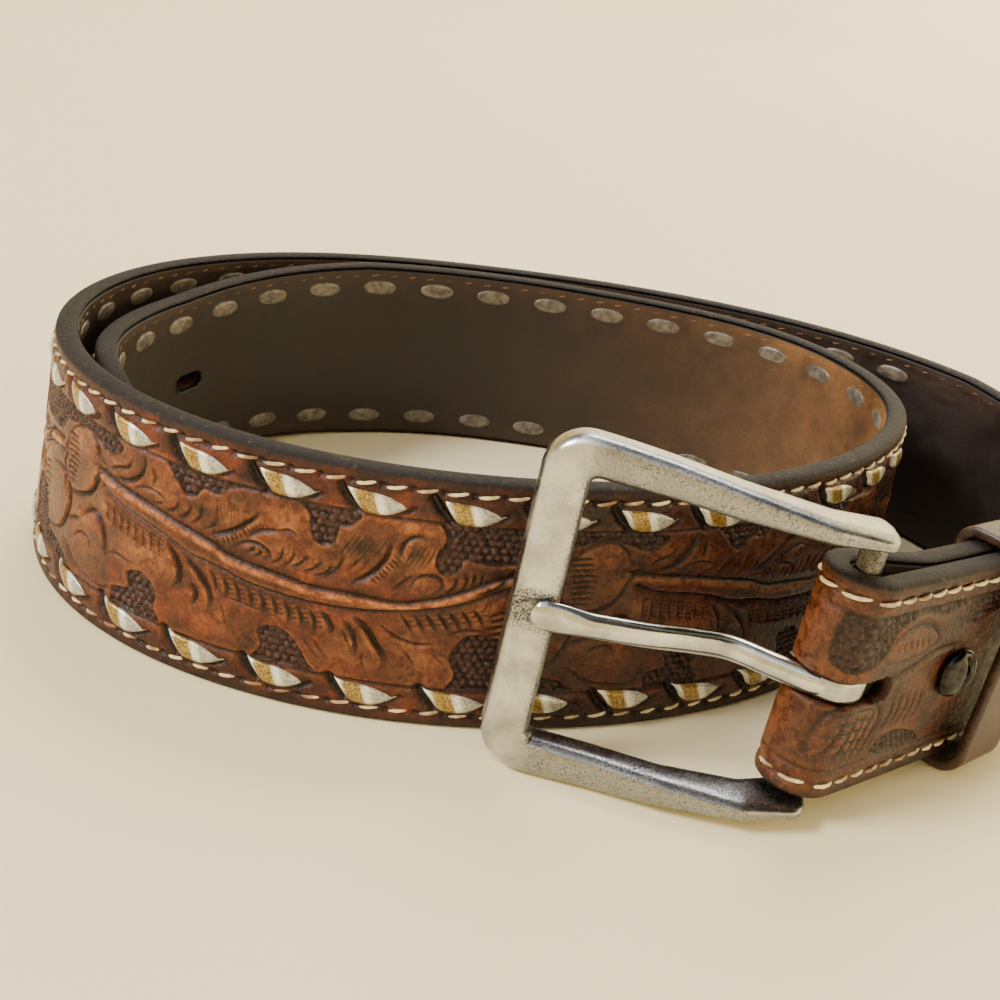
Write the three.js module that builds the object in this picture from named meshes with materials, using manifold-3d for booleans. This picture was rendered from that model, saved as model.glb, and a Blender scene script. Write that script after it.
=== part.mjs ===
// A western tooled belt, coiled and standing on its lower edge.
// Millimetres, +Z up. The origin is on the floor below the middle of the coil.
import * as THREE from "three";
import { mergeVertices } from "three/addons/utils/BufferGeometryUtils.js";
import Module from "manifold-3d";

const wasm = await Module();
wasm.setup();

// Driving sizes of the strap
const BELT_LENGTH = 891; // along the strap, from the rounded tip to the buckle's bar
const STRAP_WIDTH = 44.5;
const END_NARROWING = 5.9; // of both ends, the one with the tip and the one round the bar
const TOOLED_PLY = 2.8;
const LINING_PLY = 1.0;
const FIT_GAP = 0.3; // between pieces that touch
const EDGE_BEVEL = 0.6;
const LINING_INSET = 0.4; // the lining is cut narrower than the tooled ply
const TIP_LENGTH = 24; // the rounded end
const TIP_START = 0.6; // where the rounding is cut square
const FLAP_LENGTH = 66; // the folded end behind the strap
const STATION_STEP = 7.5;

// Driving sizes of the buckle
const FRAME_HEIGHT = 58.4; // across the free end
const FRAME_HEEL_HEIGHT = 49; // across the ends of the arms
const FRAME_REACH = 51.5; // from the bar's axis to the free end
const FRAME_HEEL = 1.8; // from the bar's axis to the ends of the arms
const FRAME_SIDE = 7.6; // width of the free end
const ARM_ROOT = 6.6; // height of an arm beside the free end
const ARM_HEEL = 2.2; // height of an arm at the bar
const FRAME_DEPTH = 6; // of the free end
const FRAME_CREST = 10.3; // the frame's front, at its furthest outside the bar's axis
const FRAME_RAISE = 2.2; // the middle of the frame lies above the middle of the strap
const FRAME_CORNER = 7;
const FRAME_BEVEL = 1.2;
const BAR_RADIUS = 2.2;
const PRONG_WIDTH = 4.2;
const PRONG_THICKNESS = 3.4;
const PRONG_OVERHANG = 0.6; // past the middle of the free end
const PRONG_TIP_WIDTH = 5;
const PRONG_TIP_THICKNESS = 2.4;
const PRONG_TIP_OUT = 3.7; // the tip's middle, outside the bar's axis
const NOTCH_CLEARANCE = 0.5; // of the prong's tip in the free end's notch
const SLOT_CLEARANCE = 0.5; // of the prong in the fold's slot
const SLOT_SPARE = 1.5; // of the slot's end, past the prong's eye
const TURN_CLEARANCE = 0.25; // of the prong's eye on the bar

// Driving sizes of the fittings
const HOLE_LENGTH = 9;
const HOLE_HEIGHT = 3.8;
const HOLE_FROM_TIP = 64.5;
const KEEPER_WIDTH = 12.5;
const KEEPER_LEATHER = 2;
const KEEPER_STANDOFF = 2.6; // air between the strap's face and the keeper
const KEEPER_SLACK = 0.4; // round the strap's edges and back
const KEEPER_FRONT_CORNER = 5;
const KEEPER_BACK_CORNER = 3.6;
const KEEPER_FROM_BAR = 37.5; // to the middle of the keeper, along the strap
const SCREW_HEAD = 9;
const SCREW_HEAD_HEIGHT = 2.8;
const SCREW_BACK_HEIGHT = 1.4;
const SCREW_BACK_GAP = 0.6; // the flap is hollow behind a screw
const SCREW_POST = 5;
const SCREW_SLOT = 1.3;
const SCREW_SLOT_DEPTH = 1.2;
const SCREWS_FROM_BAR = [24.4, 54]; // each screw's axis, along the strap

// The coil seen from above: the way that the strap heads, in degrees from +X,
// at even steps from the tip to the bar
const HEADINGS = [
  { run: "tip", heading: 156 },
  { run: "tip", heading: 88 },
  { run: "inner back run", heading: 59 },
  { run: "inner back run", heading: 23 },
  { run: "inner back run", heading: 2 },
  { run: "inner back run", heading: -14 },
  { run: "inner right turn", heading: -62 },
  { run: "inner right turn", heading: -110 },
  { run: "front run", heading: -138 },
  { run: "front run", heading: -159 },
  { run: "front run", heading: -180 },
  { run: "left turn", heading: -209 },
  { run: "left turn", heading: -247 },
  { run: "left turn", heading: -285 },
  { run: "left turn", heading: -320 },
  { run: "outer back run", heading: -344 },
  { run: "outer back run", heading: -356 },
  { run: "outer back run", heading: -371 },
  { run: "outer right turn", heading: -394 },
  { run: "outer right turn", heading: -428 },
  { run: "outer right turn", heading: -472 },
  { run: "buckle end", heading: -496 },
  { run: "buckle end", heading: -500 },
];

// How far the wall leans, in degrees: the lower edge lies further out where it is positive
const LEANS = [
  { along: 0, lean: 0 },
  { along: 0.04, lean: 0 },
  { along: 0.18, lean: 2.5 },
  { along: 0.33, lean: 4.5 },
  { along: 0.475, lean: 3.5 },
  { along: 0.62, lean: 8.5 },
  { along: 0.77, lean: 4.5 },
  { along: 0.895, lean: 2 },
  { along: 0.96, lean: 0 },
  { along: 1, lean: 0 },
];

// Both ends are cut narrower. The tip's end stays level with the strap's middle, and the
// buckle end climbs to where the frame holds it.
const WIDTHS = [
  { along: 0, taper: 1 },
  { along: 0.07, taper: 1 },
  { along: 0.13, taper: 0 },
  { along: 0.845, taper: 0 },
  { along: 0.93, taper: 1 },
  { along: 1, taper: 1 },
];
const CLIMB_START = 0.89; // share of the belt's length
const CLIMB_FULL = 0.934;
const CLIMB_DEGREES = 4;

const END_WIDTH = STRAP_WIDTH - END_NARROWING;
const STRAP_THICKNESS = TOOLED_PLY + FIT_GAP + LINING_PLY;
const FOLD_RADIUS = BAR_RADIUS + FIT_GAP + STRAP_THICKNESS / 2; // to the strap's middle
const FLAP_OFFSET = STRAP_THICKNESS + FIT_GAP; // from the strap's middle to the flap's
const DEGREE = Math.PI / 180;

const LEATHER = new THREE.MeshStandardMaterial({ color: 0x7d4526, roughness: 0.55, metalness: 0 });
const LINING = new THREE.MeshStandardMaterial({ color: 0x5a4029, roughness: 0.75, metalness: 0 });
const DYED = new THREE.MeshStandardMaterial({ color: 0x6b3a2a, roughness: 0.5, metalness: 0 });
const NICKEL = new THREE.MeshStandardMaterial({ color: 0xb5afa0, roughness: 0.35, metalness: 1 });
const DARK_NICKEL = new THREE.MeshStandardMaterial({ color: 0x55524e, roughness: 0.3, metalness: 1 });

// Values read from a table
function smoothStep(t) {
  const k = Math.min(Math.max(t, 0), 1);
  return k * k * (3 - 2 * k);
}

function readTable(rows, key, column, at) {
  const i = Math.max(1, rows.findIndex((row) => row[key] >= at));
  const [a, b] = [rows[i - 1], rows[i]];
  return a[column] + ((b[column] - a[column]) * (at - a[key])) / (b[key] - a[key]);
}

function headingAt(along) {
  const last = HEADINGS.length - 1;
  const k = Math.min(Math.max(along, 0), 1) * last;
  const i = Math.min(Math.floor(k), last - 1);
  const pick = (j) => HEADINGS[Math.min(Math.max(j, 0), last)].heading;
  const first = i > 0 ? pick(i - 1) : 2 * pick(0) - pick(1);
  const fourth = i + 2 <= last ? pick(i + 2) : 2 * pick(last) - pick(last - 1);
  const t = k - i;
  const bend = 2 * first - 5 * pick(i) + 4 * pick(i + 1) - fourth;
  const twist = 3 * pick(i) - first - 3 * pick(i + 1) + fourth;
  const slope = pick(i + 1) - first;
  return 0.5 * (2 * pick(i) + slope * t + bend * t * t + twist * t * t * t) * DEGREE;
}

// The strap's middle line in plan, summed in short steps
const PATH_STEPS = 1740;
const planLine = [new THREE.Vector2(0, 0)];
for (let i = 0; i < PATH_STEPS; i++) {
  const heading = headingAt((i + 0.5) / PATH_STEPS);
  const step = new THREE.Vector2(Math.cos(heading), Math.sin(heading));
  planLine.push(planLine[i].clone().addScaledVector(step, BELT_LENGTH / PATH_STEPS));
}

// The lower edge's height above the floor, summed the same way
const liftLine = [0];
for (let i = 0; i < PATH_STEPS; i++) {
  const t = ((i + 0.5) / PATH_STEPS - CLIMB_START) / (CLIMB_FULL - CLIMB_START);
  const slope = Math.tan(CLIMB_DEGREES * DEGREE) * smoothStep(t);
  liftLine.push(liftLine[i] + (slope * BELT_LENGTH) / PATH_STEPS);
}

function lerpLine(line, s) {
  const k = Math.min(Math.max(s / BELT_LENGTH, 0), 1) * PATH_STEPS;
  const i = Math.min(Math.floor(k), PATH_STEPS - 1);
  return [line[i], line[i + 1], k - i];
}

function widthAt(s) {
  const taper = readTable(WIDTHS, "along", "taper", s / BELT_LENGTH);
  return STRAP_WIDTH - END_NARROWING * taper;
}

function halfWidthAt(s) {
  const round = s < TIP_LENGTH ? Math.sqrt(1 - (1 - s / TIP_LENGTH) ** 2) : 1;
  return (widthAt(s) / 2) * round;
}

function slopeAt(s) {
  const t = (s / BELT_LENGTH - CLIMB_START) / (CLIMB_FULL - CLIMB_START);
  return CLIMB_DEGREES * DEGREE * smoothStep(t);
}

// A station: the middle of the strap there, its outward normal, and the way up its width
function stationAt(s) {
  const heading = headingAt(s / BELT_LENGTH);
  const lean = readTable(LEANS, "along", "lean", s / BELT_LENGTH) * DEGREE;
  const slope = slopeAt(s);
  const [a, b, t] = lerpLine(planLine, s);
  const [low, high] = lerpLine(liftLine, s);
  const along = new THREE.Vector3(Math.cos(heading), Math.sin(heading), 0);
  const out = new THREE.Vector3(-Math.sin(heading), Math.cos(heading), 0);
  const up = new THREE.Vector3(0, 0, Math.cos(slope))
    .addScaledVector(along, -Math.sin(slope))
    .addScaledVector(out, -Math.tan(lean));
  const middle = new THREE.Vector3(a.x + (b.x - a.x) * t, a.y + (b.y - a.y) * t, 0);
  const halfAsStood = (s < BELT_LENGTH / 2 ? STRAP_WIDTH : widthAt(s)) / 2;
  middle.z = low + (high - low) * t + halfAsStood * up.z;
  const forward = along.clone().multiplyScalar(Math.cos(slope)).setZ(Math.sin(slope));
  return { s, middle, out, up, forward, half: halfWidthAt(s) };
}

// The fold round the bar: a half turn about the bar's axis
const barStation = stationAt(BELT_LENGTH);
const barCentre = barStation.middle.clone().addScaledVector(barStation.out, -FOLD_RADIUS);

function foldStation(turn) {
  const out = barStation.out.clone().applyAxisAngle(barStation.up, -turn);
  const middle = barCentre.clone().addScaledVector(out, FOLD_RADIUS);
  return { ...barStation, s: BELT_LENGTH + FOLD_RADIUS * turn, middle, out };
}

// The flap runs back behind the strap and closes up to it
const FLAP_CLOSES = 16; // from the bar to where the flap lies against the strap
function flapStation(distance) {
  const front = stationAt(BELT_LENGTH - distance);
  const near = smoothStep(distance / FLAP_CLOSES);
  const offset = 2 * FOLD_RADIUS + (FLAP_OFFSET - 2 * FOLD_RADIUS) * near;
  const middle = front.middle.clone().addScaledVector(front.out, -offset);
  return { ...front, middle, out: front.out.clone().negate() };
}

function strapStations() {
  const stations = [];
  const TIP_STATIONS = 8;
  for (let i = 0; i < TIP_STATIONS; i++) {
    const share = 1 - Math.cos((Math.PI / 2) * (i / TIP_STATIONS));
    stations.push(stationAt(TIP_START + (TIP_LENGTH - TIP_START) * share));
  }
  const runs = Math.ceil((BELT_LENGTH - TIP_LENGTH) / STATION_STEP);
  for (let i = 0; i <= runs; i++) {
    stations.push(stationAt(TIP_LENGTH + ((BELT_LENGTH - TIP_LENGTH) * i) / runs));
  }
  const FOLD_STATIONS = 10;
  for (let i = 1; i < FOLD_STATIONS; i++) {
    stations.push(foldStation((Math.PI * i) / FOLD_STATIONS));
  }
  const flaps = Math.ceil(FLAP_LENGTH / (STATION_STEP / 2));
  for (let i = 0; i <= flaps; i++) {
    stations.push(flapStation((FLAP_LENGTH * i) / flaps));
  }
  return stations;
}

// One ply as a closed solid: a ring of eight points at each station, bevelled at the edges
function plySolid(stations, innerSide, outerSide, inset) {
  const positions = [];
  const bevel = Math.min(EDGE_BEVEL, (outerSide - innerSide) / 3);
  for (const station of stations) {
    const h = station.half - inset;
    const ring = [
      [innerSide, h - bevel],
      [innerSide + bevel, h],
      [outerSide - bevel, h],
      [outerSide, h - bevel],
      [outerSide, -h + bevel],
      [outerSide - bevel, -h],
      [innerSide + bevel, -h],
      [innerSide, -h + bevel],
    ];
    for (const [outward, upward] of ring) {
      const p = station.middle.clone();
      p.addScaledVector(station.out, outward).addScaledVector(station.up, upward);
      positions.push(p.x, p.y, p.z);
    }
  }
  return ringsToGeometry(positions, stations.length, 8);
}

// Joins rings of points into a closed surface with flat ends
function ringsToGeometry(positions, rings, sides) {
  const index = [];
  for (let r = 0; r < rings - 1; r++) {
    for (let i = 0; i < sides; i++) {
      const j = (i + 1) % sides;
      const [a, b, c, d] = [r * sides + i, r * sides + j, (r + 1) * sides + j, (r + 1) * sides + i];
      index.push(a, c, b, a, d, c);
    }
  }
  const last = (rings - 1) * sides;
  for (let i = 1; i < sides - 1; i++) {
    index.push(0, i, i + 1);
    index.push(last, last + i + 1, last + i);
  }
  const geometry = new THREE.BufferGeometry();
  geometry.setAttribute("position", new THREE.Float32BufferAttribute(positions, 3));
  geometry.setIndex(index);
  return geometry;
}

// Booleans
function toSolid(geometry) {
  const bare = geometry.index ? geometry.toNonIndexed() : geometry.clone();
  bare.deleteAttribute("normal");
  bare.deleteAttribute("uv");
  const merged = mergeVertices(bare, 1e-4);
  const solid = new wasm.Manifold(
    new wasm.Mesh({
      numProp: 3,
      vertProperties: new Float32Array(merged.attributes.position.array),
      triVerts: new Uint32Array(merged.index.array),
    }),
  );
  return solid;
}

function toGeometry(solid) {
  const mesh = solid.getMesh();
  const geometry = new THREE.BufferGeometry();
  geometry.setAttribute("position", new THREE.BufferAttribute(new Float32Array(mesh.vertProperties), 3));
  geometry.setIndex(new THREE.BufferAttribute(new Uint32Array(mesh.triVerts), 1));
  geometry.computeVertexNormals();
  return geometry;
}

// Axes at a station: x out of the strap's face, y back along the strap, z up its width
function axesAt(station, origin = station.middle) {
  const z = station.up.clone().normalize();
  const y = z.clone().cross(station.out).normalize();
  const x = y.clone().cross(z);
  return new THREE.Matrix4().makeBasis(x, y, z).setPosition(origin);
}

// Turns a geometry drawn in x and y, with its depth in z, so that it lies in a station's
// y and z and its depth runs along the station's x
function pressedAlongX(geometry) {
  return geometry.applyMatrix4(new THREE.Matrix4().set(0, 0, 1, 0, 1, 0, 0, 0, 0, 1, 0, 0, 0, 0, 0, 1));
}

function obround(length, height, depth) {
  const r = height / 2;
  const straight = length / 2 - r;
  const shape = new THREE.Shape();
  shape.absarc(straight, 0, r, -Math.PI / 2, Math.PI / 2, false);
  shape.absarc(-straight, 0, r, Math.PI / 2, (3 * Math.PI) / 2, false);
  const geometry = new THREE.ExtrudeGeometry(shape, { depth, bevelEnabled: false, curveSegments: 6 });
  return pressedAlongX(geometry.translate(0, 0, -depth / 2));
}

function cylinderAlongX(radius, depth, sides) {
  return new THREE.CylinderGeometry(radius, radius, depth, sides).rotateZ(-Math.PI / 2);
}

// What is cut through both plies: the tip's hole, the prong's slot and the screws' holes
const EYE_RADIUS = BAR_RADIUS + TURN_CLEARANCE + PRONG_THICKNESS;
const SLOT_BEHIND = EYE_RADIUS + SLOT_SPARE; // past the bar's axis, along the strap
const SCREW_BORE = SCREW_POST / 2 + FIT_GAP;

function cutStrap(geometry) {
  let solid = toSolid(geometry);
  const cut = (tool, matrix) => {
    solid = solid.subtract(toSolid(tool.applyMatrix4(matrix)));
  };
  cut(obround(HOLE_LENGTH, HOLE_HEIGHT, 3 * STRAP_THICKNESS), axesAt(stationAt(HOLE_FROM_TIP)));
  const slotLength = SLOT_BEHIND + 2 * FOLD_RADIUS;
  const slot = new THREE.BoxGeometry(4 * FOLD_RADIUS, slotLength, PRONG_WIDTH + 2 * SLOT_CLEARANCE);
  cut(slot.translate(0, SLOT_BEHIND - slotLength / 2, 0), axesAt(barStation, barCentre));
  for (const distance of SCREWS_FROM_BAR) {
    cut(cylinderAlongX(SCREW_BORE, 6 * STRAP_THICKNESS, 12), axesAt(stationAt(BELT_LENGTH - distance)));
  }
  return toGeometry(solid);
}

// Buckle axes: x out of the strap's face, y back from the free end past the bar, z along the bar.
const HEEL_OPENING = FRAME_HEEL_HEIGHT / 2 - ARM_HEEL; // half of it
const HINGE_REST = 38.5 * DEGREE; // the frame stands bent in from the strap's line

function buckleAxes() {
  const out = barStation.out.clone().applyAxisAngle(barStation.up, -HINGE_REST);
  return axesAt({ ...barStation, out }, barCentre);
}

// The frame's section at a reach from the bar: its front face is given in shares of the
// crest, its depth in shares of the free end's
const FRAME_SECTIONS = [
  { reach: -0.05, front: 0.7, depth: 1.65 },
  { reach: 0, front: 0.8, depth: 1.7 },
  { reach: 0.18, front: 1, depth: 1.45 },
  { reach: 0.44, front: 0.8, depth: 1.12 },
  { reach: 0.64, front: 0.54, depth: 1.04 },
  { reach: 0.9, front: 0.3, depth: 1 },
  { reach: 1, front: 0.25, depth: 1 },
];
const SIDE_MIDDLE = FRAME_REACH - FRAME_SIDE / 2;
const NOTCH_RADIUS = PRONG_TIP_WIDTH / 2 + NOTCH_CLEARANCE;
function sectionAt(reach) {
  const share = Math.min(Math.max(reach / FRAME_REACH, -0.05), 1);
  return {
    front: FRAME_CREST * readTable(FRAME_SECTIONS, "reach", "front", share),
    depth: FRAME_DEPTH * readTable(FRAME_SECTIONS, "reach", "depth", share),
  };
}

// Pairs of points round the frame's lower half, outer and inner, as [reach, height]
function frameRim() {
  const ARM_STEPS = 8;
  const CORNER_STEPS = 5;
  const INNER_CORNER = 1.2;
  const rootReach = FRAME_REACH - FRAME_CORNER;
  const innerReach = FRAME_REACH - FRAME_SIDE;
  const heel = FRAME_HEEL_HEIGHT / 2;
  const outerRoot = FRAME_HEIGHT / 2;
  const innerRoot = FRAME_HEIGHT / 2 - ARM_ROOT;
  const pairs = [];
  for (let i = 0; i <= ARM_STEPS; i++) {
    const t = 1 - i / ARM_STEPS;
    const outerAt = -FRAME_HEEL + (rootReach + FRAME_HEEL) * (1 - t);
    const innerAt = -FRAME_HEEL + (innerReach - INNER_CORNER + FRAME_HEEL) * (1 - t);
    const outer = [outerAt, -outerRoot + (outerRoot - heel) * t ** 1.35];
    const inner = [innerAt, -innerRoot + (innerRoot - HEEL_OPENING) * t];
    pairs.push({ outer, inner });
  }
  for (let i = 1; i <= CORNER_STEPS; i++) {
    const turn = (Math.PI / 2) * (i / CORNER_STEPS);
    const corner = (reach, height, radius) => {
      return [reach + radius * Math.sin(turn), height - radius * Math.cos(turn)];
    };
    const outer = corner(rootReach, FRAME_CORNER - outerRoot, FRAME_CORNER);
    const inner = corner(innerReach - INNER_CORNER, INNER_CORNER - innerRoot, INNER_CORNER);
    pairs.push({ outer, inner });
  }
  return pairs;
}

function buckleFrame() {
  const lower = frameRim();
  const flip = ([reach, height]) => [reach, -height];
  const upper = lower.map(({ outer, inner }) => ({ outer: flip(outer), inner: flip(inner) }));
  const rim = [...lower, ...upper.reverse()];
  const positions = [];
  rim.forEach(({ outer, inner }, i) => {
    const height = Math.hypot(outer[0] - inner[0], outer[1] - inner[1]);
    const end = i === 0 || i === rim.length - 1;
    const bevel = Math.min(FRAME_BEVEL, height / 3) * (end ? 1.2 : 1);
    const inset = bevel / height;
    const ring = [
      ["back", 1 - inset],
      ["back", inset],
      ["behind", 0],
      ["before", 0],
      ["front", inset],
      ["front", 1 - inset],
      ["before", 1],
      ["behind", 1],
    ];
    for (const [level, across] of ring) {
      const reach = inner[0] + (outer[0] - inner[0]) * across;
      const rise = inner[1] + (outer[1] - inner[1]) * across;
      const { front, depth } = sectionAt(reach);
      const behind = front - depth + bevel;
      const x = { front, before: front - bevel, behind, back: front - depth }[level];
      positions.push(x, -reach, rise);
    }
  });
  const bar = new THREE.CylinderGeometry(BAR_RADIUS, BAR_RADIUS, 2 * HEEL_OPENING + ARM_HEEL, 16);
  const notch = new THREE.CylinderGeometry(NOTCH_RADIUS, NOTCH_RADIUS, 2 * FRAME_SIDE, 16);
  const notchFloor = PRONG_TIP_OUT - PRONG_TIP_THICKNESS / 2 - NOTCH_CLEARANCE;
  notch.translate(notchFloor + NOTCH_RADIUS, -SIDE_MIDDLE, 0);
  const solid = toSolid(ringsToGeometry(positions, rim.length, 8));
  return toGeometry(solid.add(toSolid(bar.rotateX(Math.PI / 2))).subtract(toSolid(notch)));
}

// The prong: an eye round the bar, a shank that dips between the arms, and a flattened tip.
// Its middle is given outside the bar's axis in shares of the tip's, and rises to the
// middle of the free end.
const PRONG_LINE = [
  { reach: 0, out: 1.08, rise: 0 },
  { reach: 0.07, out: 0.95, rise: 0.03 },
  { reach: 0.19, out: 0.42, rise: 0.16 },
  { reach: 0.33, out: -0.22, rise: 0.33 },
  { reach: 0.46, out: 0, rise: 0.48 },
  { reach: 0.61, out: 0.5, rise: 0.66 },
  { reach: 0.79, out: 0.89, rise: 0.88 },
  { reach: 0.88, out: 0.98, rise: 0.97 },
  { reach: 1, out: 1, rise: 1 },
];

function buckleProng() {
  const reachEnd = SIDE_MIDDLE + PRONG_OVERHANG;
  const line = new THREE.CatmullRomCurve3(
    PRONG_LINE.map(({ reach, out, rise }) => {
      return new THREE.Vector3(PRONG_TIP_OUT * out, -reachEnd * reach, FRAME_RAISE * rise);
    }),
  );
  const RINGS = 22;
  const SIDES = 12;
  const positions = [];
  for (let i = 0; i <= RINGS; i++) {
    const share = i / RINGS;
    const middle = line.getPointAt(share);
    const forward = line.getTangentAt(share);
    const side = new THREE.Vector3(-forward.y, forward.x, 0).normalize();
    const flat = smoothStep((share - 0.8) / 0.12);
    const nose = share > 0.95 ? Math.sqrt(1 - ((share - 0.95) / 0.055) ** 2) : 1;
    const width = (PRONG_WIDTH + (PRONG_TIP_WIDTH - PRONG_WIDTH) * flat) * nose;
    const thickness = (PRONG_THICKNESS + (PRONG_TIP_THICKNESS - PRONG_THICKNESS) * flat) * nose;
    for (let j = 0; j < SIDES; j++) {
      const a = (2 * Math.PI * j) / SIDES;
      const p = middle.clone().addScaledVector(side, (Math.cos(a) * thickness) / 2);
      positions.push(p.x, p.y, p.z - (Math.sin(a) * width) / 2);
    }
  }
  const shank = ringsToGeometry(positions, RINGS + 1, SIDES);
  const annulus = new THREE.Shape();
  annulus.absarc(0, 0, EYE_RADIUS, 0, 2 * Math.PI, false);
  const bore = new THREE.Path();
  bore.absarc(0, 0, BAR_RADIUS + TURN_CLEARANCE, 0, 2 * Math.PI, true);
  annulus.holes.push(bore);
  const eyeShape = { depth: PRONG_WIDTH, bevelEnabled: false, curveSegments: 20 };
  const eye = new THREE.ExtrudeGeometry(annulus, eyeShape);
  eye.translate(0, 0, -PRONG_WIDTH / 2);
  return toGeometry(toSolid(shank).add(toSolid(eye)));
}

// The keeper: a loop of leather round the strap and the flap
function roundedRectangle(back, front, half, backRadius, frontRadius, Kind) {
  const corners = [
    { x: front - frontRadius, y: frontRadius - half, r: frontRadius, from: -Math.PI / 2 },
    { x: front - frontRadius, y: half - frontRadius, r: frontRadius, from: 0 },
    { x: back + backRadius, y: half - backRadius, r: backRadius, from: Math.PI / 2 },
    { x: back + backRadius, y: backRadius - half, r: backRadius, from: Math.PI },
  ];
  const path = new Kind();
  for (const { x, y, r, from } of corners) path.absarc(x, y, r, from, from + Math.PI / 2, false);
  path.closePath();
  return path;
}

function keeperLoop() {
  const front = STRAP_THICKNESS / 2 + KEEPER_STANDOFF;
  const back = -STRAP_THICKNESS / 2 - FLAP_OFFSET - KEEPER_SLACK;
  const half = END_WIDTH / 2 + KEEPER_SLACK;
  const loopAt = (wall, Kind) => {
    const radii = [KEEPER_BACK_CORNER, KEEPER_FRONT_CORNER].map((r) => r - KEEPER_LEATHER + wall);
    return roundedRectangle(back - wall, front + wall, half + wall, ...radii, Kind);
  };
  const band = loopAt(KEEPER_LEATHER, THREE.Shape);
  band.holes.push(loopAt(0, THREE.Path));
  const bandShape = { depth: KEEPER_WIDTH, bevelEnabled: false, curveSegments: 5 };
  const geometry = new THREE.ExtrudeGeometry(band, bandShape);
  geometry.translate(0, 0, -KEEPER_WIDTH / 2);
  return geometry.rotateX(Math.PI / 2);
}

// A screw and its post: a slotted dome in front, a plain cap behind
function screwPost() {
  const face = STRAP_THICKNESS / 2 + FIT_GAP;
  const rear = -STRAP_THICKNESS / 2 - FLAP_OFFSET - SCREW_BACK_GAP;
  const r = SCREW_HEAD / 2;
  const rim = 0.7;
  const profile = [
    [0, rear - SCREW_BACK_HEIGHT],
    [r - 0.4, rear - SCREW_BACK_HEIGHT],
    [r, rear - SCREW_BACK_HEIGHT + 0.4],
    [r, rear],
    [SCREW_POST / 2, rear],
    [SCREW_POST / 2, face],
    [r, face],
    [r, face + rim],
    [r * 0.9, face + rim + (SCREW_HEAD_HEIGHT - rim) * 0.45],
    [r * 0.66, face + rim + (SCREW_HEAD_HEIGHT - rim) * 0.8],
    [r * 0.35, face + SCREW_HEAD_HEIGHT - 0.1],
    [0, face + SCREW_HEAD_HEIGHT],
  ];
  const turned = new THREE.LatheGeometry(profile.map(([x, y]) => new THREE.Vector2(x, y)), 20);
  turned.rotateZ(-Math.PI / 2);
  const slot = new THREE.BoxGeometry(2 * SCREW_SLOT_DEPTH, SCREW_SLOT, 2 * SCREW_HEAD);
  slot.translate(face + SCREW_HEAD_HEIGHT, 0, 0);
  return toGeometry(toSolid(turned).subtract(toSolid(slot)));
}

// Assembly
function named(name, geometry, material, matrix) {
  const mesh = new THREE.Mesh(geometry, material);
  mesh.name = name;
  if (matrix) mesh.applyMatrix4(matrix);
  return mesh;
}

const belt = new THREE.Group();
const stations = strapStations();
const innermost = -STRAP_THICKNESS / 2;
const liningTop = innermost + LINING_PLY;
const tooled = plySolid(stations, liningTop + FIT_GAP, STRAP_THICKNESS / 2, 0);
const lining = plySolid(stations, innermost, liningTop, LINING_INSET);
belt.add(named("strap_tooled", cutStrap(tooled), LEATHER));
belt.add(named("strap_lining", cutStrap(lining), LINING));

const buckle = new THREE.Group();
buckle.applyMatrix4(buckleAxes());
const frame = named("buckle_frame", buckleFrame(), NICKEL);
frame.position.z = FRAME_RAISE;
buckle.add(frame);
buckle.add(named("buckle_prong", buckleProng(), NICKEL));
belt.add(buckle);

const keeperAxes = axesAt(stationAt(BELT_LENGTH - KEEPER_FROM_BAR));
belt.add(named("keeper_loop", keeperLoop(), DYED, keeperAxes));
SCREWS_FROM_BAR.forEach((distance, i) => {
  const name = ["fold_screw", "flap_screw"][i];
  belt.add(named(name, screwPost(), DARK_NICKEL, axesAt(stationAt(BELT_LENGTH - distance))));
});

// The origin: on the floor, below the middle of the whole
const whole = new THREE.Box3().setFromObject(belt, true);
const middle = whole.getCenter(new THREE.Vector3());
belt.position.set(-middle.x, -middle.y, -whole.min.z);

export default belt;
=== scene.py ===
# A western tooled belt, coiled and standing on its lower edge.
# Sizes are in millimetres until a point is handed to Blender. "Along" is measured on the strap
# from its tip, "height" across its width, and "outward" from its middle to the tooled face.
import math
from functools import partial

import bpy
import numpy as np
from mathutils import Matrix, Vector


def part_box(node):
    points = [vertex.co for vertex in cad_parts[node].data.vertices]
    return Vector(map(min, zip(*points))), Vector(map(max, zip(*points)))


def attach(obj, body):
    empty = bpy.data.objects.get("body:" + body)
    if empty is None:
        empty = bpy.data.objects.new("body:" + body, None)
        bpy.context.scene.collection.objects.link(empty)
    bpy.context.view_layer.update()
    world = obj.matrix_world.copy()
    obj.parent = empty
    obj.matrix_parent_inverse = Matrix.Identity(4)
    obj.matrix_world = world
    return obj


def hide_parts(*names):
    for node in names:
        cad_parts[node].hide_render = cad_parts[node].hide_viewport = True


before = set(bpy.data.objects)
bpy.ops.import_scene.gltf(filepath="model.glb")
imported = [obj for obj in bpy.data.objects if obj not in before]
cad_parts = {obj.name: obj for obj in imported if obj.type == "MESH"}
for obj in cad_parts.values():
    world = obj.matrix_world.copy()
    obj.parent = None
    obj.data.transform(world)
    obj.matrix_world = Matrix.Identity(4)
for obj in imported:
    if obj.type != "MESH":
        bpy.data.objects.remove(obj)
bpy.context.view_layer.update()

MM = 0.001

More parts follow.
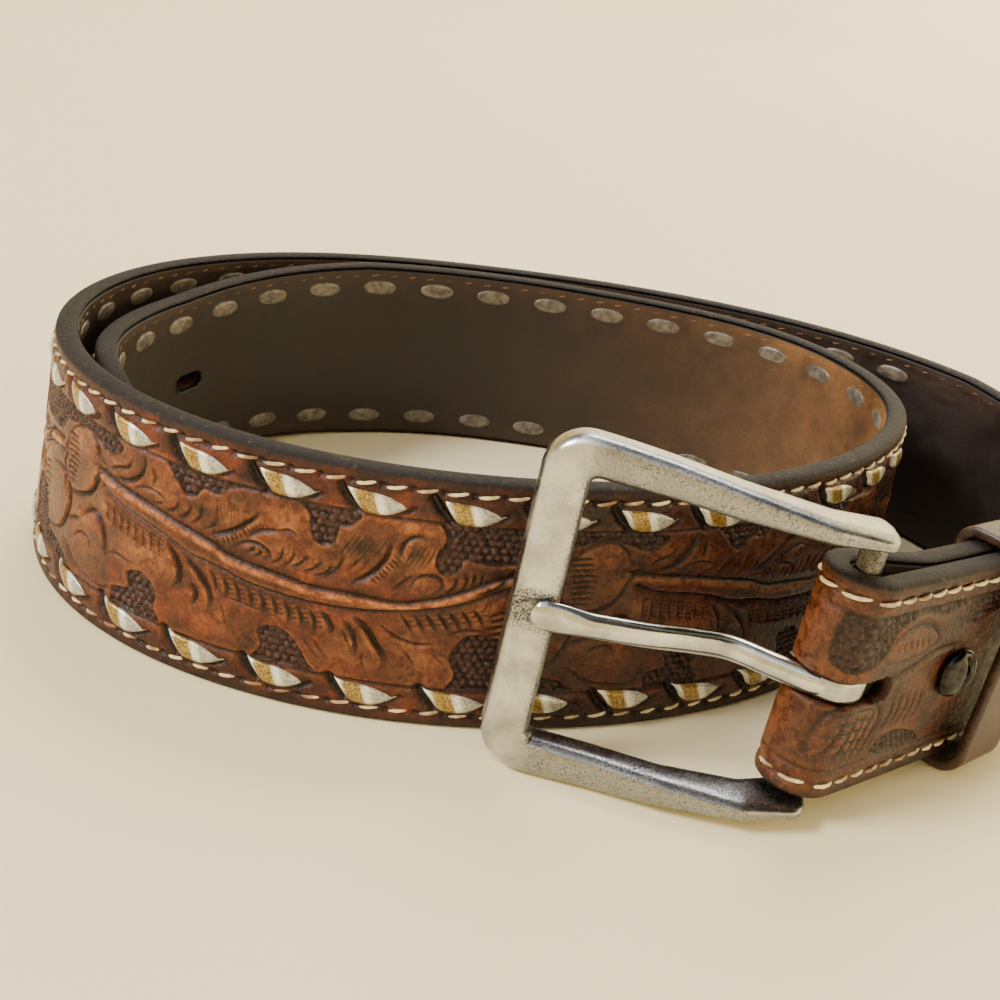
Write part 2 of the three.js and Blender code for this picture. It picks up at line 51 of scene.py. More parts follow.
# The strap, as in the CAD model
BELT_LENGTH = 891.0
STRAP_WIDTH = 44.5
CHAPE_WIDTH = 38.6
STRAP_THICKNESS = 4.1
OUTER_FACE = STRAP_THICKNESS / 2
TOOLED_BACK = -0.75
LINING_FACE = -STRAP_THICKNESS / 2
LINING_BACK = -1.05
TIP_LENGTH = 24.0
FLAP_LENGTH = 66.0
BAR_RADIUS = 2.2
FOLD_RADIUS = 4.55
FLAP_OFFSET = 4.4
FLAP_CLOSES = 16.0
FOLD_LENGTH = math.pi * FOLD_RADIUS
WHOLE_LENGTH = BELT_LENGTH + FOLD_LENGTH + FLAP_LENGTH
HEADINGS = [156, 88, 59, 23, 2, -14, -62, -110, -138, -159, -180, -209,
            -247, -285, -320, -344, -356, -371, -394, -428, -472, -496, -500]
LEAN_ALONG = [0, 0.04, 0.18, 0.33, 0.475, 0.62, 0.77, 0.895, 0.96, 1]
LEAN_DEGREES = [0, 0, 2.5, 4.5, 3.5, 8.5, 4.5, 2, 0, 0]
TAPER_ALONG = [0, 0.07, 0.13, 0.845, 0.93, 1]
TAPER_SHARE = [1, 1, 0, 0, 1, 1]
CLIMB_START = 0.89
CLIMB_FULL = 0.934
CLIMB_DEGREES = 4.0

# The hole near the tip, the prong's slot and the buckle
HOLE_LENGTH = 9.0
HOLE_HEIGHT = 3.8
HOLE_FROM_TIP = 64.5
PRONG_WIDTH = 4.2
SLOT_HALF = PRONG_WIDTH / 2 + 0.5
SLOT_BEHIND = 7.35
HINGE_REST = math.radians(38.5)

# The lacing and the stitching
LACE_PITCH = 14.63
LACE_FROM_EDGE = 5.4
FIRST_OUTER_LACE = 23.16
LOWER_ROW_SHIFT = -1.5
STITCH_PITCH = 4.8
STITCH_LENGTH = 3.7
FIRST_STITCH = 20.0
STITCH_FROM_EDGE = 2.45
CHAPE_STITCH_FROM_EDGE = 2.9
CHAPE_START = 836.0


def smooth_step(t):
    k = np.clip(t, 0, 1)
    return k * k * (3 - 2 * k)


def stretch(along, begins, full, fades, ends):
    """1 from full to fades, and softly 0 before it begins and after it ends."""
    return smooth_step((ends - along) / (ends - fades)) * smooth_step((along - begins) / (full - begins))


def bell(distance, width):
    """1 in the middle, falling softly to nothing about twice the width away."""
    return np.exp(-((distance / width) ** 2))


def signed_power(values, power):
    """A power that keeps the sign. Of a sine and cosine, it makes a circle squarer."""
    return np.sign(values) * np.abs(values) ** power


def catmull_rom(values, at):
    """Values at even steps from 0 to 1, read smoothly, with the ends mirrored."""
    v = np.asarray(values, float)
    v = np.concatenate([[2 * v[0] - v[1]], v, [2 * v[-1] - v[-2]]])
    k = np.clip(at, 0, 1) * (len(values) - 1)
    i = np.minimum(k.astype(int), len(values) - 2)
    t = k - i
    a, b, c, d = v[i], v[i + 1], v[i + 2], v[i + 3]
    bend = 2 * a - 5 * b + 4 * c - d
    twist = 3 * b - a - 3 * c + d
    return 0.5 * (2 * b + (c - a) * t + bend * t**2 + twist * t**3)


# The strap's middle line, its outward normal and its way up, at even steps along the belt
LINE_STEPS = 3564


def strap_line():
    """The coil from the tip to the bar: how far along, the middle, outward, up and the width."""
    middles_of_steps = (np.arange(LINE_STEPS) + 0.5) / LINE_STEPS
    step = BELT_LENGTH / LINE_STEPS
    heading = np.radians(catmull_rom(HEADINGS, middles_of_steps))
    climb = math.radians(CLIMB_DEGREES)
    rise = math.tan(climb) * smooth_step((middles_of_steps - CLIMB_START) / (CLIMB_FULL - CLIMB_START))
    plan = np.stack([np.cos(heading), np.sin(heading), rise], 1) * step
    line = np.vstack([[0, 0, 0], np.cumsum(plan, 0)])
    along = np.arange(LINE_STEPS + 1) / LINE_STEPS
    heading = np.radians(catmull_rom(HEADINGS, along))
    slope = climb * smooth_step((along - CLIMB_START) / (CLIMB_FULL - CLIMB_START))
    lean = np.tan(np.radians(np.interp(along, LEAN_ALONG, LEAN_DEGREES)))
    forward = np.stack([np.cos(heading), np.sin(heading), 0 * heading], 1)
    out = np.stack([-np.sin(heading), np.cos(heading), 0 * heading], 1)
    up = -forward * np.sin(slope)[:, None] - out * lean[:, None]
    up[:, 2] += np.cos(slope)
    width = STRAP_WIDTH + (CHAPE_WIDTH - STRAP_WIDTH) * np.interp(along, TAPER_ALONG, TAPER_SHARE)
    line[:, 2] += np.where(along < 0.5, STRAP_WIDTH, width) / 2 * up[:, 2]
    return along * BELT_LENGTH, line, out, up, width


def turned(v, axis, angle):
    """Vectors turned round an axis, once for each angle."""
    axis = axis / np.linalg.norm(axis)
    cos, sin = np.cos(angle)[:, None], np.sin(angle)[:, None]
    return v * cos + np.cross(axis, v) * sin + axis * (v @ axis)[..., None] * (1 - cos)


def developed_strap():
    """The whole strap laid out straight: the coil, then the fold and the flap behind."""
    s, line, out, up, width = strap_line()
    bar = line[-1] - out[-1] * FOLD_RADIUS
    turn = np.linspace(0, math.pi, 61)[1:]
    fold_out = turned(out[-1:], up[-1], -turn)
    flap = np.linspace(0, FLAP_LENGTH, 265)[1:]
    front = [np.stack([np.interp(BELT_LENGTH - flap, s, column) for column in table.T], 1)
             for table in (line, out, up)]
    offset = 2 * FOLD_RADIUS + (FLAP_OFFSET - 2 * FOLD_RADIUS) * smooth_step(flap / FLAP_CLOSES)
    tables = {
        "along": np.concatenate([s, BELT_LENGTH + FOLD_RADIUS * turn,
                                 BELT_LENGTH + FOLD_LENGTH + flap]),
        "middle": np.vstack([line, bar + fold_out * FOLD_RADIUS, front[0] - front[1] * offset[:, None]]),
        "out": np.vstack([out, fold_out, -front[1]]),
        "up": np.vstack([up, np.repeat(up[-1:], len(turn), 0), front[2]]),
        "width": np.concatenate([width, np.repeat(width[-1:], len(turn)),
                                 np.interp(BELT_LENGTH - flap, s, width)]),
    }
    return tables, bar


STRAP, BAR_CENTRE = developed_strap()


def read_strap(key, along):
    """One of the strap's tables, read at places along it."""
    table = STRAP[key]
    if table.ndim == 1:
        return np.interp(along, STRAP["along"], table)
    return np.stack([np.interp(along, STRAP["along"], column) for column in table.T], -1)


def half_width(along):
    """Half the strap's width, rounded off at the tip."""
    along = np.asarray(along, float)
    tip = np.sqrt(np.clip(1 - (1 - np.clip(along, 0, TIP_LENGTH) / TIP_LENGTH) ** 2, 0, 1))
    return read_strap("width", along) / 2 * tip


def on_strap(along, height, outward):
    """Points in millimetres: height from the strap's middle line, outward from its middle."""
    along, height, outward = np.broadcast_arrays(along, height, outward)
    return (read_strap("middle", along) + read_strap("out", along) * outward[..., None]
            + read_strap("up", along) * height[..., None] + ORIGIN)


# The coil stands where the CAD strap stands
ORIGIN = np.zeros(3)
rims = np.linspace(TIP_LENGTH, WHOLE_LENGTH, 4000)
lowest = np.minimum.reduce([on_strap(rims, side * half_width(rims), face).min(0)
                            for side in (-1, 1) for face in (OUTER_FACE, TOOLED_BACK)])
ORIGIN = np.array(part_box("strap_tooled")[0]) / MM - lowest
ORIGIN[2] = 0


# Meshes
def new_mesh(name, points, faces, attributes=None):
    """A smooth mesh from points in millimetres, one or more arrays of faces and masks by name."""
    mesh = bpy.data.meshes.new(name)
    points = np.asarray(points, float).reshape(-1, 3) * MM
    faces = [np.asarray(f) for f in (faces if isinstance(faces, list) else [faces])]
    loops = np.concatenate([f.ravel() for f in faces])
    sizes = np.concatenate([np.full(len(f), f.shape[1]) for f in faces])
    mesh.vertices.add(len(points))
    mesh.vertices.foreach_set("co", points.ravel())
    mesh.loops.add(len(loops))
    mesh.loops.foreach_set("vertex_index", loops)
    mesh.polygons.add(len(sizes))
    mesh.polygons.foreach_set("loop_start", np.concatenate([[0], np.cumsum(sizes)[:-1]]))
    mesh.polygons.foreach_set("use_smooth", np.full(len(sizes), True))
    mesh.update(calc_edges=True)
    mesh.validate()
    for key, values in (attributes or {}).items():
        layer = mesh.attributes.new(key, "FLOAT_COLOR", "POINT")
        colours = np.ones((len(points), 4))
        colours[:, :3] = values
        layer.data.foreach_set("color", colours.ravel())
    piece = bpy.data.objects.new(name, mesh)
    bpy.context.scene.collection.objects.link(piece)
    return piece


def grid_faces(rows, columns, closed=False):
    """Quads of a grid of points; closed joins the last column to the first."""
    last = columns if closed else columns - 1
    r, c = np.meshgrid(np.arange(rows - 1), np.arange(last), indexing="ij")
    n = (c + 1) % columns
    return np.stack([r * columns + c, (r + 1) * columns + c, (r + 1) * columns + n, r * columns + n],
                    -1).reshape(-1, 4)


def end_caps(rows, around):
    """The two faces that close a tube of rings."""
    first = np.arange(around)
    return np.array([first, (rows * around - around + first)[::-1]])


def finish_piece(piece, body, slot, material, *nodes):
    piece.data.materials.append(material)
    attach(piece, body)
    if nodes:
        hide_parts(*nodes)
    return piece


# Materials
def linear(hex_colour):
    """An sRGB hex colour as the linear values that Blender takes."""
    channels = [int(hex_colour[i:i + 2], 16) / 255 for i in (1, 3, 5)]
    return [c / 12.92 if c <= 0.04045 else ((c + 0.055) / 1.055) ** 2.4 for c in channels] + [1.0]


def add_node(tree, kind, settings=None, links=None):
    """Adds a node. Settings are its properties and unlinked sockets, links the sockets that feed it."""
    node = tree.nodes.new(kind)
    for key, value in (settings or {}).items():
        if isinstance(key, str) and hasattr(node, key):
            setattr(node, key, value)
        else:
            node.inputs[key].default_value = value
    for key, source in (links or {}).items():
        tree.links.new(source, node.inputs[key])
    return node


def new_material(name):
    material = bpy.data.materials.new(name)
    material.use_nodes = True
    material.node_tree.nodes.clear()
    return material, material.node_tree


def finish_material(tree, settings, links):
    shader = add_node(tree, "ShaderNodeBsdfPrincipled", settings, links)
    add_node(tree, "ShaderNodeOutputMaterial", None, {"Surface": shader.outputs[0]})


def noise(tree, size_mm, detail, roughness, distortion=0.0):
    """Noise of a real size, from 0 to 1."""
    place = add_node(tree, "ShaderNodeTexCoord")
    return add_node(tree, "ShaderNodeTexNoise",
                    {"Scale": 1 / (size_mm * MM), "Detail": detail, "Roughness": roughness,
                     "Distortion": distortion},
                    {"Vector": place.outputs["Object"]}).outputs["Fac"]


def ramp(tree, source, stops):
    """Colours, or shares from 0 to 1, at places along a source."""
    node = add_node(tree, "ShaderNodeValToRGB", None, {"Fac": source})
    node.color_ramp.interpolation = "EASE"
    for i, (position, colour) in enumerate(stops):
        element = node.color_ramp.elements[i] if i < 2 else node.color_ramp.elements.new(position)
        element.position = position
        element.color = linear(colour) if isinstance(colour, str) else [colour] * 3 + [1]
    return node.outputs["Color"]


def mix(tree, share, first, second, blend="MIX"):
    """Two colours mixed by a share. Each is a socket, a hex colour or a number."""
    node = add_node(tree, "ShaderNodeMix", {"data_type": "RGBA", "blend_type": blend})
    for index, source in ((0, share), (6, first), (7, second)):
        if isinstance(source, str):
            node.inputs[index].default_value = linear(source)
        elif isinstance(source, (int, float)):
            node.inputs[index].default_value = source
        else:
            tree.links.new(source, node.inputs[index])
    return node.outputs[2]


def bump(tree, height, distance_mm, strength):
    return add_node(tree, "ShaderNodeBump", {"Strength": strength, "Distance": distance_mm * MM},
                    {"Height": height}).outputs["Normal"]


def masks(tree, name):
    """The three masks that a mesh carries under one name."""
    attribute = add_node(tree, "ShaderNodeAttribute", {"attribute_name": name})
    split = add_node(tree, "ShaderNodeSeparateColor", None, {"Color": attribute.outputs["Color"]})
    return split.outputs[0], split.outputs[1], split.outputs[2]


def tooled_leather():
    """Vegetable-tanned cowhide, carved, dyed and waxed: antique dye stays dark in the cuts and
    the pebbled ground, and the dye is worn off the handled high spots, which are orange and shine.
    That orange is also a painted highlight, and the dark at the laces' slits, at the stitch holes
    and behind the buckle is painted shade."""
    material, tree = new_material("tooled vegetable-tanned leather")
    cut, ground, edge = masks(tree, "tooling")
    wear_and_painted_light, shade, _ = masks(tree, "wear_and_painted_light")
    cloudy = noise(tree, 7.0, 5.0, 0.65)
    fine = noise(tree, 0.9, 4.0, 0.7)
    streaks = noise(tree, 2.2, 4.0, 0.7, 0.6)
    brown = ramp(tree, cloudy, [(0.34, "#240e0b"), (0.5, "#451c11"), (0.66, "#6b2f17")])
    # The orange is both dye worn off the high spots and a painted highlight
    rubbed = ramp(tree, streaks, [(0.36, "#7c3c1f"), (0.62, "#c07844")])
    face = mix(tree, wear_and_painted_light, brown, rubbed)
    face = mix(tree, ground, face, ramp(tree, fine, [(0.3, "#2a1513"), (0.7, "#52302b")]))
    # Dark dye, and the painted shadow behind the buckle
    face = mix(tree, shade, face, "#1d0d0a")
    face = mix(tree, cut, face, "#100706")
    burnish = ramp(tree, fine, [(0.35, "#0b0807"), (0.6, "#1d1310"), (0.74, "#5d4433")])
    face = mix(tree, edge, face, burnish)
    freckles = ramp(tree, fine, [(0.36, 0.6), (0.66, 1.25)])
    face = mix(tree, 0.75, face, freckles, "MULTIPLY")
    gloss = ramp(tree, streaks, [(0.35, 0.2), (0.65, 0.42)])
    dull = mix(tree, edge, gloss, "#d8d8d8")
    finish_material(tree, {"IOR": 1.45, "Specular IOR Level": 0.38},
                    {"Base Color": face, "Roughness": dull, "Normal": bump(tree, fine, 0.3, 0.85)})
    return material


def lining_leather():
    """Plain leather, flesh side glued in, painted a lighter, waxy tan along the run that the light
    falls on, most towards the edges, and painted dark as shade elsewhere."""
    material, tree = new_material("lining leather with painted light and shade")
    dark, tan, edge = masks(tree, "lining")
    stains = noise(tree, 16.0, 6.0, 0.68)
    fine = noise(tree, 0.8, 3.0, 0.6)
    face = ramp(tree, stains, [(0.3, "#352218"), (0.5, "#462e1f"), (0.7, "#583b25")])
    # The tan is painted light on the lit run, and the dark is painted shade elsewhere
    face = mix(tree, tan, face, ramp(tree, stains, [(0.34, "#5a3b22"), (0.66, "#8f6236")]))
    face = mix(tree, dark, face, ramp(tree, stains, [(0.35, "#140c0a"), (0.65, "#231612")]))
    face = mix(tree, edge, face, "#1c1512")
    face = mix(tree, 0.5, face, ramp(tree, fine, [(0.35, 0.75), (0.7, 1.1)]), "MULTIPLY")
    gloss = ramp(tree, stains, [(0.3, 0.48), (0.7, 0.66)])
    finish_material(tree, {"IOR": 1.5},
                    {"Base Color": face, "Roughness": gloss, "Normal": bump(tree, fine, 0.15, 0.5)})
    return material


def keeper_leather():
    """Waxed cowhide with a burgundy dye on the outside, cut raw and brown at the edges."""
    material, tree = new_material("dyed keeper leather")
    _, raw, _ = masks(tree, "keeper")
    cloudy = noise(tree, 6.0, 4.0, 0.6)
    fine = noise(tree, 0.8, 3.0, 0.6)
    face = ramp(tree, cloudy, [(0.3, "#1d0b08"), (0.55, "#33130c"), (0.75, "#471d10")])
    face = mix(tree, raw, face, ramp(tree, fine, [(0.3, "#1d120c"), (0.7, "#47301e")]))
    finish_material(tree, {"Roughness": 0.42, "IOR": 1.5, "Coat Weight": 0.08, "Coat Roughness": 0.25},
                    {"Base Color": face, "Normal": bump(tree, fine, 0.15, 0.5)})
    return material


def lace_foil():
    """Flat plastic lace, silver with a gold band: a glittery foil under a clear film."""
    material, tree = new_material("silver and gold lace")
    gold, grey, _ = masks(tree, "lace")
    glitter = noise(tree, 0.35, 2.0, 0.7)
    silver = ramp(tree, glitter, [(0.35, "#c9c6b8"), (0.6, "#fbf7ea")])
    silver = mix(tree, grey, silver, ramp(tree, glitter, [(0.36, "#85837b"), (0.64, "#c6c3b9")]))
    yellow = ramp(tree, glitter, [(0.35, "#5a4720"), (0.65, "#b8964a")])
    finish_material(tree, {"Roughness": 0.32, "Metallic": 0.35, "IOR": 1.45, "Coat Weight": 0.3,
                           "Coat Roughness": 0.15},
                    {"Base Color": mix(tree, gold, silver, yellow),
                     "Normal": bump(tree, glitter, 0.08, 0.5)})
    return material


def lace_back():
    """The lace's back inside the coil, a dark grey olive."""
    material, tree = new_material("dark grey olive lace back")
    stains = noise(tree, 2.0, 4.0, 0.6)
    finish_material(tree, {"Roughness": 0.4, "Metallic": 0.2, "IOR": 1.45},
                    {"Base Color": ramp(tree, stains, [(0.3, "#4b443e"), (0.7, "#7b7369")])})
    return material


def waxed_thread(name, dirty, clean):
    """Two-ply waxed thread, cream outside and brown with dirt inside the coil."""
    material, tree = new_material(name)
    dirt = noise(tree, 6.0, 3.0, 0.6)
    finish_material(tree, {"Roughness": 0.6, "IOR": 1.5},
                    {"Base Color": ramp(tree, dirt, [(0.35, dirty), (0.55, clean)])})
    return material


def nickel_plate():
    """Polished nickel plate over cast brass: handled faces shine softly, and grime sits in the
    pitted recesses. The arms' faces are painted a darker tone and darker spots as shade."""
    material, tree = new_material("worn nickel plate")
    grime, tarnish_and_painted_shade, polish = masks(tree, "plate")
    pits = noise(tree, 0.35, 4.0, 0.7)
    patches = noise(tree, 5.0, 4.0, 0.65)
    gathered = add_node(tree, "ShaderNodeMath", {"operation": "MULTIPLY"}, {0: patches, 1: grime})
    level = add_node(tree, "ShaderNodeMath", {"operation": "MULTIPLY_ADD", 1: 0.5},
                     {0: gathered.outputs[0], 2: pits})
    cover = ramp(tree, level.outputs[0], [(0.62, 0.0), (0.94, 1.0)])
    tone = ramp(tree, patches, [(0.3, "#9fa09f"), (0.7, "#cbcccd")])
    tone = mix(tree, tarnish_and_painted_shade, tone, "#6f6f6e")
    colour = mix(tree, cover, tone, "#2e2a26")
    gloss = mix(tree, cover, ramp(tree, patches, [(0.3, 0.22), (0.7, 0.36)]), "#9a9a9a")
    gloss = mix(tree, polish, gloss, "#1c1c1c")
    finish_material(tree, {"Metallic": 1.0},
                    {"Base Color": colour, "Roughness": gloss, "Normal": bump(tree, pits, 0.05, 0.35)})
    return material


def dark_nickel():
    """Blackened nickel plate on a turned screw: dark, smooth and glossy."""
    material, tree = new_material("blackened nickel plate")
    patches = noise(tree, 1.5, 3.0, 0.6)
    finish_material(tree, {"Metallic": 1.0},
                    {"Base Color": ramp(tree, patches, [(0.3, "#201f1e"), (0.7, "#403e3c")]),
                     "Roughness": ramp(tree, patches, [(0.3, 0.1), (0.7, 0.2)])})
    return material


# The tooling is drawn on a sheet: x runs towards the tip, z is the height above the lower edge.
SHEET_STEP = 0.12


class Sheet:
    """Relief in millimetres and, from 0 to 1, cuts, pebbled ground, places worn light that are also
    painted highlights, and dark dye.
    """

    def __init__(self, length, height, wraps):
        self.length, self.height, self.wraps = length, height, wraps
        self.columns = int(round(length / SHEET_STEP))
        self.rows = int(round(height / SHEET_STEP)) + 1
        self.step = length / self.columns
        x = (np.arange(self.columns) + 0.5) * self.step
        z = np.arange(self.rows) * SHEET_STEP
        self.x, self.z = np.meshgrid(x, z)
        self.relief, self.cut, self.ground, self.rub, self.shade = np.zeros((5, *self.x.shape))

    def read(self, layer, x, z):
        """A layer's value between its grid points."""
        k = x / self.step - 0.5
        k = k % self.columns if self.wraps else np.clip(k, 0, self.columns - 1.001)
        i = np.floor(k).astype(int)
        fx = k - i
        i, n = i % self.columns, (i + 1) % self.columns
        m = np.clip(z / SHEET_STEP, 0, self.rows - 1.001)
        j = np.floor(m).astype(int)
        fz = m - j
        return ((layer[j, i] * (1 - fx) + layer[j, n] * fx) * (1 - fz)
                + (layer[j + 1, i] * (1 - fx) + layer[j + 1, n] * fx) * fz)

    def read_all(self, x, z):
        layers = self.relief, self.cut, self.ground, self.rub, self.shade
        return [self.read(layer, x, z) for layer in layers]

    def window(self, x0, x1, z0, z1):
        """The part of the sheet near a stroke, once for each wrap that it falls in."""
        shifts = (-self.length, 0, self.length) if self.wraps else (0,)
        for shift in shifts:
            a = max(0, int((x0 + shift) / self.step))
            b = min(self.columns, int((x1 + shift) / self.step) + 1)
            c = max(0, int(z0 / SHEET_STEP))
            d = min(self.rows, int(z1 / SHEET_STEP) + 1)
            if a < b and c < d:
                yield (slice(c, d), slice(a, b)), shift


def smooth_line(points, steps=8):
    """A curve through a few points, or a straight line through two."""
    p = np.asarray(points, float)
    if len(p) == 2:
        t = np.linspace(0, 1, steps)[:, None]
        return p[0] + (p[1] - p[0]) * t
    count = (len(p) - 1) * steps + 1
    at = np.linspace(0, 1, count)
    return np.stack([catmull_rom(p[:, 0], at), catmull_rom(p[:, 1], at)], 1)


def near_line(x, z, line):
    """Distance to a line, the side that a point is on, and the share along it."""
    best = np.full(x.shape, 1e9)
    side = np.zeros(x.shape)
    share = np.zeros(x.shape)
    lengths = np.concatenate([[0], np.cumsum(np.hypot(*np.diff(line, axis=0).T))])
    for i in range(len(line) - 1):
        (ax, az), (bx, bz) = line[i], line[i + 1]
        dx, dz = bx - ax, bz - az
        size = dx * dx + dz * dz + 1e-9
        t = np.clip(((x - ax) * dx + (z - az) * dz) / size, 0, 1)
        ex, ez = x - ax - t * dx, z - az - t * dz
        distance = np.hypot(ex, ez)
        closer = distance < best
        best = np.where(closer, distance, best)
        side = np.where(closer, np.sign(dx * ez - dz * ex), side)
        share = np.where(closer, (lengths[i] + t * (lengths[i + 1] - lengths[i])) / lengths[-1], share)
    return best, side, share


def cut_line(sheet, points, depth, width, bevel, dark, side=0, swell=True):
    """A knife cut, thin at its ends. The bevelling tool has pressed the leather down on one
    side of it: side is 1 for the left of the cut, -1 for the right, 0 for neither."""
    line = smooth_line(points)
    reach = max(width * 2.2, bevel * 1.6)
    lo, hi = line.min(0) - reach, line.max(0) + reach
    for part, shift in sheet.window(lo[0], hi[0], lo[1], hi[1]):
        x, z = sheet.x[part] - shift, sheet.z[part]
        distance, where, share = near_line(x, z, line)
        strong = np.sin(np.pi * np.clip(share, 0.02, 0.98)) ** 0.6 if swell else 1
        groove = bell(distance, width) * strong
        slope = np.exp(-((distance / bevel) ** 1.5)) * strong * 0.6
        pressed = slope * (where == side) if side else 0
        old = sheet.relief[part]
        sheet.relief[part] = np.minimum(old, old * 0.4 - 1.55 * depth * np.maximum(groove, pressed))
        dyed = dark * np.maximum(np.minimum(1.3 * groove, 1), pressed * 0.35)
        sheet.cut[part] = np.maximum(sheet.cut[part], dyed)


def cut_fan(sheet, rows, depth, width, dark, side=0, bevel=0.6):
    for points in rows:
        cut_line(sheet, points, depth, width, bevel, dark, side)


def row_of_cuts(first, last, count, lean, length):
    """Short cuts set side by side along a line: each starts on the line and leans by (x, z)."""
    cuts = []
    for i in range(count):
        t = i / max(count - 1, 1)
        x, z = [a + (b - a) * t for a, b in zip(first, last)]
        dx, dz = lean
        size = length / math.hypot(dx, dz)
        end = (x + dx * size, z + dz * size)
        cuts.append([(x, z), ((x + end[0]) / 2, (z + end[1]) / 2), end])
    return cuts


def inside_polygon(x, z, polygon):
    """Which points lie inside a closed outline."""
    inside = np.zeros(x.shape, bool)
    for (ax, az), (bx, bz) in zip(polygon, np.roll(polygon, -1, 0)):
        crosses = (az > z) != (bz > z)
        with np.errstate(divide="ignore", invalid="ignore"):
            at = ax + (z - az) * (bx - ax) / (bz - az)
        inside ^= crosses & (x < at)
    return inside


PEBBLE_PITCH = 1.4
GROUND_DEPTH = 0.75


def pebble_ground(sheet, outline, seed):
    """Ground pressed down round the design and stamped with pebbles."""
    rng = np.random.default_rng(seed)
    closed = [*outline, outline[0]]
    rim = smooth_line(closed, 5)
    lo, hi = rim.min(0) - 1.2, rim.max(0) + 1.2
    for part, shift in sheet.window(lo[0], hi[0], lo[1], hi[1]):
        x, z = sheet.x[part] - shift, sheet.z[part]
        distance, _, _ = near_line(x, z, rim)
        inside = inside_polygon(x, z, rim)
        depth = smooth_step((np.where(inside, distance, -distance) + 0.15) / 0.5)
        sheet.relief[part] = sheet.relief[part] * (1 - depth) - GROUND_DEPTH * depth
        sheet.ground[part] = np.maximum(sheet.ground[part], depth)
        rimmed = bell(distance, 0.35)
        sheet.cut[part] = np.maximum(sheet.cut[part] * (1 - depth), 0.75 * rimmed * inside)
        lip = bell(distance - 0.35, 0.3) * ~inside
        sheet.relief[part] += 0.12 * lip
    rows = int((hi[1] - lo[1]) / (PEBBLE_PITCH * 0.87)) + 1
    columns = int((hi[0] - lo[0]) / PEBBLE_PITCH) + 1
    for j in range(rows):
        for i in range(columns):
            px = lo[0] + (i + 0.5 * (j % 2)) * PEBBLE_PITCH + rng.normal(0, 0.09)
            pz = lo[1] + j * PEBBLE_PITCH * 0.87 + rng.normal(0, 0.09)
            size = PEBBLE_PITCH * rng.uniform(0.44, 0.54)
            here = np.array([[px]]), np.array([[pz]])
            if not inside_polygon(*here, rim)[0, 0]:
                continue
            for part, shift in sheet.window(px - size, px + size, pz - size, pz + size):
                x, z = sheet.x[part] - shift, sheet.z[part]
                r = np.hypot(x - px, z - pz) / size
                dome = np.sqrt(np.clip(1 - r * r, 0, 1))
                old = sheet.relief[part]
                stamped = np.maximum(old, -GROUND_DEPTH + 0.6 * dome)
                sheet.relief[part] = np.where(sheet.ground[part] > 0.6, stamped, old)


def antique(sheet):
    """Dye gathers in the hollows, and is wiped off the high spots beside them, which are also painted
    lighter as highlights.
    """
    for radius, share in ((3, 2.2), (9, 0.9)):
        soft = sheet.relief
        for axis in (0, 1):
            soft = sum(np.roll(soft, k, axis) for k in range(-radius, radius + 1)) / (2 * radius + 1)
        proud = sheet.relief - soft
        sheet.rub = np.clip(sheet.rub + share * np.clip(proud, 0, None) * (1 - 0.75 * sheet.ground), 0, 1)
        sheet.cut = np.clip(np.maximum(sheet.cut, -2.2 * share * proud), 0, 1)


def soft_spots(sheet, centre, size, reach):
    """The parts of a sheet round a soft oval, with how strong the oval is there."""
    (cx, cz), (rx, rz) = centre, size
    for part, shift in sheet.window(cx - reach * rx, cx + reach * rx, cz - reach * rz, cz + reach * rz):
        x, z = sheet.x[part] - shift, sheet.z[part]
        yield part, np.exp(-1.2 * (((x - cx) / rx) ** 2 + ((z - cz) / rz) ** 2))


def pillow(sheet, centre, size, height, rub):
    """A soft swelling of a petal or lobe, with the dye worn off its top, which is also painted lighter as
    a highlight.
    """
    for part, soft in soft_spots(sheet, centre, size, 1.6):
        sheet.relief[part] += height * soft
        sheet.rub[part] = np.maximum(sheet.rub[part], 0.6 * rub * soft)


def dark_patch(sheet, centre, size, share):
    """Antique dye left in a hatched hollow."""
    for part, soft in soft_spots(sheet, centre, size, 1.8):
        sheet.relief[part] -= 0.25 * share * soft
        sheet.shade[part] = np.maximum(sheet.shade[part], share * soft)


def border_line(sheet, z, depth, dark):
    """A straight cut along the whole sheet, at a height above its lower edge."""
    groove = bell(np.abs(sheet.z - z), 0.3)
    sheet.relief = np.minimum(sheet.relief, sheet.relief * 0.4 - depth * groove)
    sheet.cut = np.maximum(sheet.cut, dark * groove)


# The carving repeats along the strap and lies between two border lines
FLOWER_PITCH = 94.2
PATTERN_START = 473.6
BORDER_LOW = 7.2
BORDER_HIGH = 36.9
MIDRIB_UPPER = [(18.5, 29.6), (24, 28.8), (30.7, 28), (37.3, 26.8), (44, 25.5), (47.3, 24.2),
                (56, 23.2), (60.7, 22.5), (67.3, 22.5), (74.7, 22.2), (79.5, 23.2), (85, 25.2),
                (92, 28.4), (99, 29.5)]
MIDRIB_LOWER = [(20, 27.2), (24, 25.8), (30.7, 24.8), (35.3, 23.8), (40, 22.3), (45.3, 21.7),
                (50.7, 20.5), (56, 20), (62.3, 19.7), (70, 20), (75.3, 20.8), (79.3, 21.5),
                (85, 23), (93, 26.5), (101, 28)]


